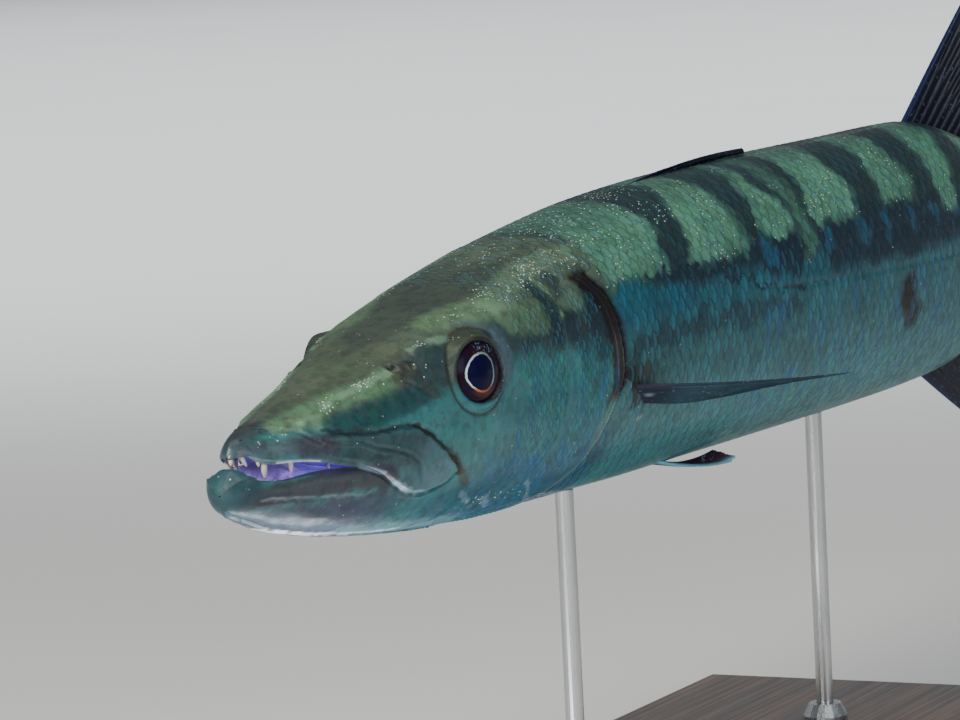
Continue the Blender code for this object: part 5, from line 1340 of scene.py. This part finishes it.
def build_tail(word, side, look):
    """One lobe of the forked tail, its rays fanning to a twice-notched edge."""
    rays, rows, columns = 16, 100, 121
    share = np.linspace(0, 1, columns)
    flat = np.zeros_like(share)
    root_z = STALK_MIDDLE + side * (0.0003 + share * 0.0330)
    roots = np.stack([flat + BODY_END - 0.004, flat, root_z], axis=1)
    tips = np.stack([smooth(TAIL_REACH, share), flat,
                     STALK_MIDDLE + side * (0.0003 + smooth(TAIL_SPREAD, share))], axis=1)
    bow = np.stack([flat, flat, side * share ** 2 * 0.006], axis=1)
    grid, half, crest, t, across = fin_sheet(roots, tips, bow, rows, rays, (0.0040, 0.0004), 0)
    outer = 1 - across
    grid[..., 0] -= fin_edge(t, across, rays, 0.0028, 43 + side)
    tone = fin_tones(FIN_DARK, FIN_EDGE * 0.8, FIN_TIP, t, outer, crest, 0.05, 0.90)
    close_fin(f"tail_{word}_rays", f"caudal_fin_{word}", grid, half, (tone, crest), look, 1)


def ray_direction(outward, upward):
    out, up = np.radians(outward), np.radians(upward)
    return np.stack([np.cos(out) * np.cos(up), np.sin(out) * np.cos(up), np.sin(up)], axis=-1)


def skin_normal(s, turn):
    """The plain form's outward normal."""
    step = 0.0004
    turn = np.clip(turn, -np.pi / 2 + 0.004, np.pi / 2 - 0.004)
    w, z = section_point(s, turn)
    ahead = np.stack([s + step, *section_point(s + step, turn)], axis=-1)
    round_it = np.stack([s, *section_point(s, turn + step)], axis=-1)
    here = np.stack([s, w, z], axis=-1)
    normal = np.cross(round_it - here, ahead - here)
    return normal / np.linalg.norm(normal, axis=-1, keepdims=True)


def build_paired_fin(word, side, kind, root, outward, upward, lengths, bow, rays, rows, columns,
                     halves, look):
    """A pectoral or pelvic fin whose rays fan from a root line on the skin."""
    share = np.linspace(0, 1, columns)
    s = root[0][0] + (root[1][0] - root[0][0]) * share
    turn = np.radians(root[0][1] + (root[1][1] - root[0][1]) * share)
    w, z = section_point(s, turn)
    normal = skin_normal(s, turn)
    roots = np.stack([s, w, z], axis=1) - normal * FIN_ROOT_SUNK
    lie = ray_direction(smooth(outward, share), smooth(upward, share))
    tips = roots + lie * smooth(lengths, share)[:, None]
    lean = np.array(bow)[None] * np.ones((columns, 1))
    grid, half, crest, t, across = fin_sheet(roots, tips, lean, rows, rays, halves, 1)
    fray = fin_edge(t, across, rays, 0.0026, 47)
    grid -= (tips - roots)[None] / np.linalg.norm(tips - roots, axis=1)[None, :, None] * fray[..., None]
    grid[..., 2] += 0.0007 * np.sin(7 * across) * t ** 2
    if kind == "pectoral":
        tone = fin_tones(PECTORAL, FIN_DARK, PECTORAL * 0.7, t, across, crest, 0.05, 0.85)
        tone = mix(tone, PURPLE * 0.5, (1 - ease(t, 0.10, 0.26)) * 0.8)
        tone = mix(tone, LAVENDER, hump(t - 0.07, 0.05) * hump(across - 0.45, 0.16) * 0.8)
    else:
        tone = fin_tones(PELVIC_DARK, PELVIC_EDGE, PELVIC_EDGE, t, across, crest, 0.42, 0.80)
    close_fin(f"{kind}_{word}_rays", f"{kind}_fin_{word}", grid, half, (tone, crest), look, side)


def fin_look():
    """Wet fin rays over a thin dark membrane."""
    look = Shader("fin_rays")
    tone = look.attribute("tone")
    cloud = look.noise(110, detail=5.0)
    tone = look.mix(look.ramp(cloud, 0.40, 0.70, 0.0, 0.45), tone,
                    look.mix(0.55, tone, rgba(tint(12, 18, 32))))
    spots = look.ramp(look.noise(420, detail=2.0), 0.62, 0.72, 0.0, 0.35)
    tone = look.mix(spots, tone, rgba(tint(110, 132, 150)))
    ridge = look.split(look.attribute("ridge"))[0]
    height = look.math("ADD", look.math("MULTIPLY", look.noise(700), 0.5), ridge)
    look.set(Base_Color=tone, Roughness=look.ramp(look.noise(260), 0.3, 0.7, 0.30, 0.46))
    look.set(Normal=look.bump(height, 0.0001, 0.5), Coat_Weight=0.05, Coat_Roughness=0.15,
             Specular_IOR_Level=0.20)
    return look.material


def build_fins():
    look = fin_look()
    build_first_dorsal(look)
    build_midline_fin("dorsal_fin_second", SECOND_DORSAL_BASE, SECOND_DORSAL_TIPS, BACK_LINE, 1, 11, 90, 111,
                      (0.0019, 0.0004), 0.0010, look)
    build_midline_fin("anal_fin", ANAL_BASE, ANAL_TIPS, BELLY_LINE, -1, 11, 80, 111,
                      (0.0019, 0.0004), 0.0010, look)
    for word, side in (("upper", 1), ("lower", -1)):
        build_tail(word, side, look)
    for word, side in (("left", 1), ("right", -1)):
        build_paired_fin(word, side, "pectoral", PECTORAL_ROOT, PECTORAL_OUTWARD, PECTORAL_UPWARD,
                         PECTORAL_LENGTHS, PECTORAL_BOW, 14, 90, 105, (0.0016, 0.0004), look)
        build_paired_fin(word, side, "pelvic", PELVIC_ROOT, PELVIC_OUTWARD, PELVIC_UPWARD, PELVIC_LENGTHS,
                         PELVIC_BOW, 6, 70, 49, (0.0015, 0.0004), look)


# Scales
ROW_PITCH = 0.0054
COLUMN_PITCH = 0.0089
ROW_COUNT = 31
SCALES_END = 0.988
SMALL_ROW_PITCH = 0.0029
SMALL_COLUMN_PITCH = 0.0047
PATCH = 0.003
PIECE_SCALES = 1350


class SkinMap:
    """Reads turns round the section from shares of the half arc, quickly and for any stations."""

    def __init__(self, start, end, stations=480, shares=241):
        self.start, self.end = start, end
        s = np.linspace(start, end, stations)
        turns, arcs = arc_table(s)
        self.low, self.high = arcs[:, 0], arcs[:, -1]
        wanted = np.linspace(0, 1, shares)
        self.turn = np.stack([np.interp(low + (high - low) * wanted, arc, turns)
                              for arc, low, high in zip(arcs, self.low, self.high)])
        self.s = s

    def arc_ends(self, s):
        return np.interp(s, self.s, self.low), np.interp(s, self.s, self.high)

    def turn_of(self, s, arc):
        low, high = self.arc_ends(s)
        across = np.clip((arc - low) / (high - low), 0, 1) * (self.turn.shape[1] - 1)
        down = np.clip((s - self.start) / (self.end - self.start), 0, 1) * (self.turn.shape[0] - 1)
        i = np.minimum(down.astype(int), self.turn.shape[0] - 2)
        j = np.minimum(across.astype(int), self.turn.shape[1] - 2)
        u, v = down - i, across - j
        return ((1 - u) * (1 - v) * self.turn[i, j] + u * (1 - v) * self.turn[i + 1, j]
                + (1 - u) * v * self.turn[i, j + 1] + u * v * self.turn[i + 1, j + 1])


def trunk_roots(surface, draw):
    """Roots of the trunk's scales in staggered rows that close up towards the tail: (s, a, pitch, side)."""
    stations = np.linspace(0.262, SCALES_END, 1500)
    low, high = surface.arc_ends(stations)
    deep = float(np.max(high - low))
    pitch = COLUMN_PITCH * np.clip((high - low) / deep, 0.50, 1.0)
    steps = np.concatenate([[0.0], np.cumsum(np.diff(stations) / pitch[1:])])
    roots = []
    for side in (1, -1):
        for row in range(ROW_COUNT + 1):
            first = 0.5 * (row % 2)
            count = np.arange(first, steps[-1], 1.0)
            s = np.interp(count, steps, stations)
            bottom, top = surface.arc_ends(s)
            share = np.clip((row + 0.25) / ROW_COUNT, 0, 1)
            a = bottom + (top - bottom) * share
            size = np.interp(s, stations, pitch)
            s = s + draw.normal(0, 0.035, len(s)) * size
            a = a + draw.normal(0, 0.030, len(s)) * size
            roots.append(np.stack([s, a, size, np.full(len(s), side)], axis=1))
    roots = np.concatenate(roots)
    turn = surface.turn_of(roots[:, 0], roots[:, 1])
    behind, _ = cover_place(roots[:, 0], turn)
    degrees = np.degrees(turn)
    beside = np.where(degrees < 46, behind > 0.0045, roots[:, 0] > 0.280 - 0.10 * ease(degrees, 60, 90))
    below = np.where(degrees < -80, roots[:, 0] > 0.262, True)
    return roots[beside & below]


def head_roots(surface, draw):
    """Roots of the small scales on the nape, the cheek and the gill cover."""
    roots = []
    for row, a in enumerate(np.arange(-0.040, 0.086, SMALL_ROW_PITCH)):
        s = np.arange(0.186 + 0.5 * SMALL_COLUMN_PITCH * (row % 2), 0.296, SMALL_COLUMN_PITCH)
        for side in (1, -1):
            roots.append(np.stack([s + draw.normal(0, 0.0003, len(s)), a + draw.normal(0, 0.0002, len(s)),
                                   np.full(len(s), SMALL_COLUMN_PITCH), np.full(len(s), side)], axis=1))
    roots = np.concatenate(roots)
    s, a = roots[:, 0], roots[:, 1]
    turn = surface.turn_of(s, a)
    behind, share = cover_place(s, turn)
    degrees = np.degrees(turn)
    _, top = surface.arc_ends(s)
    nape = (degrees > 46) & (s > 0.205) & (s < 0.284) & (a < top - 0.001)
    cheek = (degrees < 44) & (a > -0.036 + 0.10 * np.maximum(0.20 - s, 0)) & (share < -0.10) & (s > 0.204)
    low_cheek = (a < -0.010 - 0.6 * (0.204 - s)) & (a > -0.034)
    cheek |= (degrees < 44) & (share < -0.10) & (s > 0.186) & low_cheek
    cover = (degrees < 42) & (degrees > -48) & (share > 0.10) & (behind < -0.0145)
    return roots[nape | cheek | cover]


def scale_points(surface, roots, across, along, overlap, lift, sunk):
    """Every scale's curved upper face, its place on the skin and its own coordinates."""
    u = np.linspace(-1, 1, across)[None, None, :]
    v = np.linspace(0, 1, along)[None, :, None]
    size = roots[:, 2][:, None, None]
    length = overlap * size
    height = 1.06 * size * ROW_PITCH / COLUMN_PITCH * 2.0
    reach = 0.60 + 0.40 * np.sqrt(1 - np.abs(u) ** 2.2)
    s = roots[:, 0][:, None, None] + (v * reach - 0.20) * length
    a = roots[:, 1][:, None, None] + u * (0.80 + 0.20 * ease(v, 0.0, 0.4)) * height / 2 + 0 * s
    s = s + 0 * a
    low, high = surface.arc_ends(s)
    over_top, under = np.maximum(a - high, 0), np.maximum(low - a, 0)
    a = np.where(over_top > 0, high - over_top, np.where(under > 0, low + under, a))
    crossed = np.where((over_top > 0) | (under > 0), -1.0, 1.0)
    turn = surface.turn_of(s, a)
    w, z = section_point(s, turn)
    normal = skin_normal(s, turn)
    far = np.full_like(s, 0.02)
    raised = relief(s.ravel(), w.ravel(), z.ravel(), turn.ravel(), a.ravel(), far.ravel()).reshape(s.shape)
    high_up = sunk + lift * v * reach - 0.10 * lift * np.abs(u) ** 3
    points = np.stack([s, w, z], axis=-1) + normal * (raised + high_up)[..., None]
    points[..., 1] *= crossed
    return points, s, a, turn, u + 0 * s, v + 0 * s


def scale_faces(across, along):
    """Faces of one closed scale: the grid above and a shallow fan below, round one more point."""
    top = grid_faces(along, across)
    last = across * along - 1
    around = np.concatenate([np.arange(across), across - 1 + across * np.arange(1, along),
                             last - 1 - np.arange(across - 1), across * np.arange(along - 2, 0, -1)])
    ahead = np.roll(around, -1)
    under = np.stack([around, ahead, np.full(len(around), across * along)], axis=1)
    return top, under


def build_scales(name, surface, roots, across, along, overlap, lift, sunk, look, draw):
    """One coat piece of closed scales, each with its own shade, growth rings and patch."""
    points, s, a, turn, u, v = scale_points(surface, roots, across, along, overlap, lift, sunk)
    count = len(roots)
    heart_s = roots[:, 0][:, None, None] * 0.3 + s * 0.7
    heart_a = roots[:, 1][:, None, None] * 0.3 + a * 0.7
    colours, marks = paint(heart_s, heart_a, turn)
    size = across * along
    middle = points[:, along // 2, across // 2]
    normal = skin_normal(s[:, along // 2, across // 2], turn[:, along // 2, across // 2])
    under = (middle - normal * 0.25 * lift)[:, None]
    points = np.concatenate([points.reshape(count, size, 3), under], axis=1)
    points[..., 1] *= roots[:, 3][:, None]

    def spread(values):
        flat = values.reshape(count, size, -1)
        return np.concatenate([flat, flat[:, [size // 2]]], axis=1).reshape(count * (size + 1), -1)

    chance = np.repeat(draw.uniform(0, 1, count), size + 1)
    own = np.stack([spread(v)[:, 0], 0.5 + 0.5 * spread(u)[:, 0], chance], axis=1)
    top, under = scale_faces(across, along)
    first = (np.arange(count) * (size + 1))[:, None, None]
    quads, tris = (top[None] + first).reshape(-1, 4), (under[None] + first).reshape(-1, 3)
    flip = np.repeat(roots[:, 3] < 0, len(top))
    quads[flip] = quads[flip][:, ::-1]
    flip = np.repeat(roots[:, 3] < 0, len(under))
    tris[flip] = tris[flip][:, ::-1]
    low, high = surface.arc_ends(roots[:, 0])
    round_it = 0.5 + roots[:, 3] * (0.012 + 0.476 * (roots[:, 1] - low) / (high - low))
    corner = np.stack([(roots[:, 0] + 0.02) / 1.04, round_it], axis=1)
    patch = np.repeat(corner, size + 1, axis=0) + PATCH * (own[:, :2] - 0.5)
    piece = make_mesh(name, place(points.reshape(-1, 3)), quads, tris,
                      {"tone": spread(colours), "marks": spread(marks), "scale_place": own}, patch, look)
    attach(piece, "root")
    return piece


def build_coat(look):
    """The trunk's scales in lengths, then the small ones of the head."""
    draw = np.random.default_rng(7)
    surface = SkinMap(0.18, 1.0)
    roots = trunk_roots(surface, draw)
    roots = roots[np.argsort(roots[:, 0], kind="stable")]
    pieces = int(np.ceil(len(roots) / PIECE_SCALES))
    for number, share in enumerate(np.array_split(roots, pieces)):
        build_scales(f"scales_trunk_{number + 1}", surface, share, 9, 7, 1.50, 0.00090, 0.00002, look, draw)
    small = head_roots(surface, draw)
    build_scales("scales_head", surface, small, 6, 5, 1.45, 0.00034, -0.00008, look, draw)


# Stand
def wood_look():
    look = Shader("dark_wood")
    bands = look.noise(9, (0.55, 7.0, 7.0), detail=4.0)
    fibres = look.noise(60, (0.12, 9.0, 9.0), detail=5.0)
    tone = look.mix(look.ramp(bands, 0.35, 0.65), rgba(tint(58, 38, 28)), rgba(tint(92, 62, 44)))
    tone = look.mix(look.ramp(fibres, 0.45, 0.70, 0.0, 0.6), tone, rgba(tint(34, 22, 17)))
    pores = look.ramp(look.noise(420, (0.05, 3.0, 3.0)), 0.62, 0.72)
    tone = look.mix(look.math("MULTIPLY", pores, 0.6), tone, rgba(tint(20, 13, 10)))
    height = look.math("SUBTRACT", fibres, pores)
    look.set(Base_Color=tone, Roughness=look.ramp(fibres, 0.3, 0.7, 0.34, 0.48))
    look.set(Normal=look.bump(height, 0.0002, 0.5))
    look.set(Coat_Weight=0.25, Coat_Roughness=0.2)
    return look.material


def steel_look():
    look = Shader("brushed_steel")
    brushed = look.noise(900, (1.0, 1.0, 0.03), detail=2.0)
    cloud = look.noise(40)
    tone = look.mix(cloud, rgba(tint(176, 178, 182)), rgba(tint(205, 206, 208)))
    look.set(Base_Color=tone, Metallic=1.0, Roughness=look.ramp(brushed, 0.3, 0.7, 0.22, 0.36))
    look.set(Normal=look.bump(brushed, 0.00003, 0.4))
    return look.material


def dress_stand():
    """The stand's solids stay as they are and get their wood and steel."""
    wood, steel = wood_look(), steel_look()
    for name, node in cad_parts.items():
        if name.startswith("stand_"):
            node.data.materials.clear()
            node.data.materials.append(wood if name == "stand_base" else steel)


# Camera, light and floor
FOCAL_LENGTH = 162.45
CAMERA_TURN = math.radians(62.69)
CAMERA_PITCH = math.radians(6.47)
CAMERA_ROLL = math.radians(2.88)
CAMERA_AWAY = (-0.1141, -0.0351, 1.834)


def camera_axes():
    """The camera's right, up and forward directions before its roll."""
    turn, pitch = CAMERA_TURN, CAMERA_PITCH
    right = np.array([math.cos(turn), -math.sin(turn), 0.0])
    up = np.array([math.sin(turn) * math.sin(pitch), math.cos(turn) * math.sin(pitch), math.cos(pitch)])
    forward = np.array([math.sin(turn) * math.cos(pitch), math.cos(turn) * math.cos(pitch), -math.sin(pitch)])
    return right, up, forward


def make_camera():
    """Looks at the snout as the photograph does; the offset is from the form's first station."""
    right, up, forward = camera_axes()
    turned_right = right * math.cos(CAMERA_ROLL) - up * math.sin(CAMERA_ROLL)
    turned_up = right * math.sin(CAMERA_ROLL) + up * math.cos(CAMERA_ROLL)
    across, rise, away = CAMERA_AWAY
    seen = place([0.0, 0.0, 0.0])
    position = seen - (forward * away + turned_right * across + turned_up * rise) * STANDARD_LENGTH
    data = bpy.data.cameras.new("camera")
    data.lens = FOCAL_LENGTH
    data.sensor_width = 36.0
    data.clip_start, data.clip_end = 0.05, 200.0
    camera = bpy.data.objects.new("camera", data)
    bpy.context.scene.collection.objects.link(camera)
    turned = Matrix(np.stack([turned_right, turned_up, -forward], axis=1).tolist())
    camera.matrix_world = Matrix.Translation(Vector(position)) @ turned.to_4x4()
    bpy.context.scene.camera = camera
    return position


def area_light(name, position, target, size, power, colour):
    data = bpy.data.lights.new(name, "AREA")
    data.shape = "RECTANGLE"
    data.size, data.size_y = size
    data.energy = power
    data.color = colour
    light = bpy.data.objects.new(name, data)
    light.location = position
    light.rotation_euler = (Vector(target) - Vector(position)).to_track_quat("-Z", "Y").to_euler()
    bpy.context.scene.collection.objects.link(light)


FLOOR_LIGHT_SIZE = (12.0, 15.0)
FLOOR_LIGHT_TILT = math.radians(18)


def make_light():
    """Soft lamps on the viewer's side, a low one under the chin, and one beyond the fish for the floor."""
    right, _, forward = camera_axes()
    snout = place([0.08, 0.0, 0.0])
    middle = place([0.42, 0.0, 0.0])
    level = np.array([forward[0], forward[1], 0.0]) / math.hypot(forward[0], forward[1])
    rise = np.array([0.0, 0.0, 1.0])
    key = snout - forward * 1.25 - right * 0.75 + rise * 0.60
    area_light("key_light", key, snout, (0.55, 0.55), 34, (1.0, 0.95, 0.86))
    fill = middle - forward * 1.4 + right * 1.1 + rise * 0.45
    area_light("fill_light", fill, middle, (1.2, 0.8), 12, (0.90, 0.96, 1.0))
    area_light("top_light", middle + rise * 1.6 - level * 0.6, middle, (2.0, 0.8), 17, (1.0, 0.95, 0.82))
    chin = place([0.105, 0.0, 0.0])
    chin[2] = 0.035
    area_light("chin_light", chin, chin + rise, (0.26, 0.04), 0.32, (0.94, 0.97, 1.0))
    away = level * math.cos(FLOOR_LIGHT_TILT) + rise * math.sin(FLOOR_LIGHT_TILT)
    down = level * math.sin(FLOOR_LIGHT_TILT) - rise * math.cos(FLOOR_LIGHT_TILT)
    beyond = middle + level * 1.75 + rise * 0.65 + away * 0.5 * FLOOR_LIGHT_SIZE[1]
    area_light("floor_light", beyond, beyond + down, FLOOR_LIGHT_SIZE, 760, (1.0, 1.0, 1.0))
    world = bpy.data.worlds.new("studio")
    world.use_nodes = True
    world.node_tree.nodes["Background"].inputs[0].default_value = (0.80, 0.88, 0.94, 1.0)
    world.node_tree.nodes["Background"].inputs[1].default_value = 0.20
    bpy.context.scene.world = world


def make_floor():
    """A wide pale floor with a faint cloudiness."""
    look = Shader("studio_floor")
    cloud = look.noise(1.5, detail=2.0)
    tone = look.mix(cloud, rgba(tint(232, 234, 235)), rgba(tint(238, 239, 240)))
    look.set(Base_Color=tone, Roughness=0.9, Specular_IOR_Level=0.05)
    reach, count = 40.0, 9
    line = np.linspace(-reach, reach, count)
    x, y = np.meshgrid(line, line, indexing="ij")
    points = np.stack([x, y, np.zeros_like(x)], axis=-1).reshape(-1, 3)
    faces = grid_faces(count, count)[:, ::-1]
    floor = make_mesh("studio_floor", points, faces, None, None, None, look.material)


make_camera()
make_light()
make_floor()
dress_stand()
hide = hide_look("hide", False)
skin = build_skin(hide, mouth_look())
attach(skin, "root")
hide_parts(*skin_nodes())
eye_surface = eye_look()
for eye_word, eye_side in (("left", 1), ("right", -1)):
    build_eye(eye_word, eye_side, eye_surface)
build_teeth(tooth_look())
build_fins()
build_coat(hide_look("scale_coat", True))

bpy.context.view_layer.update()
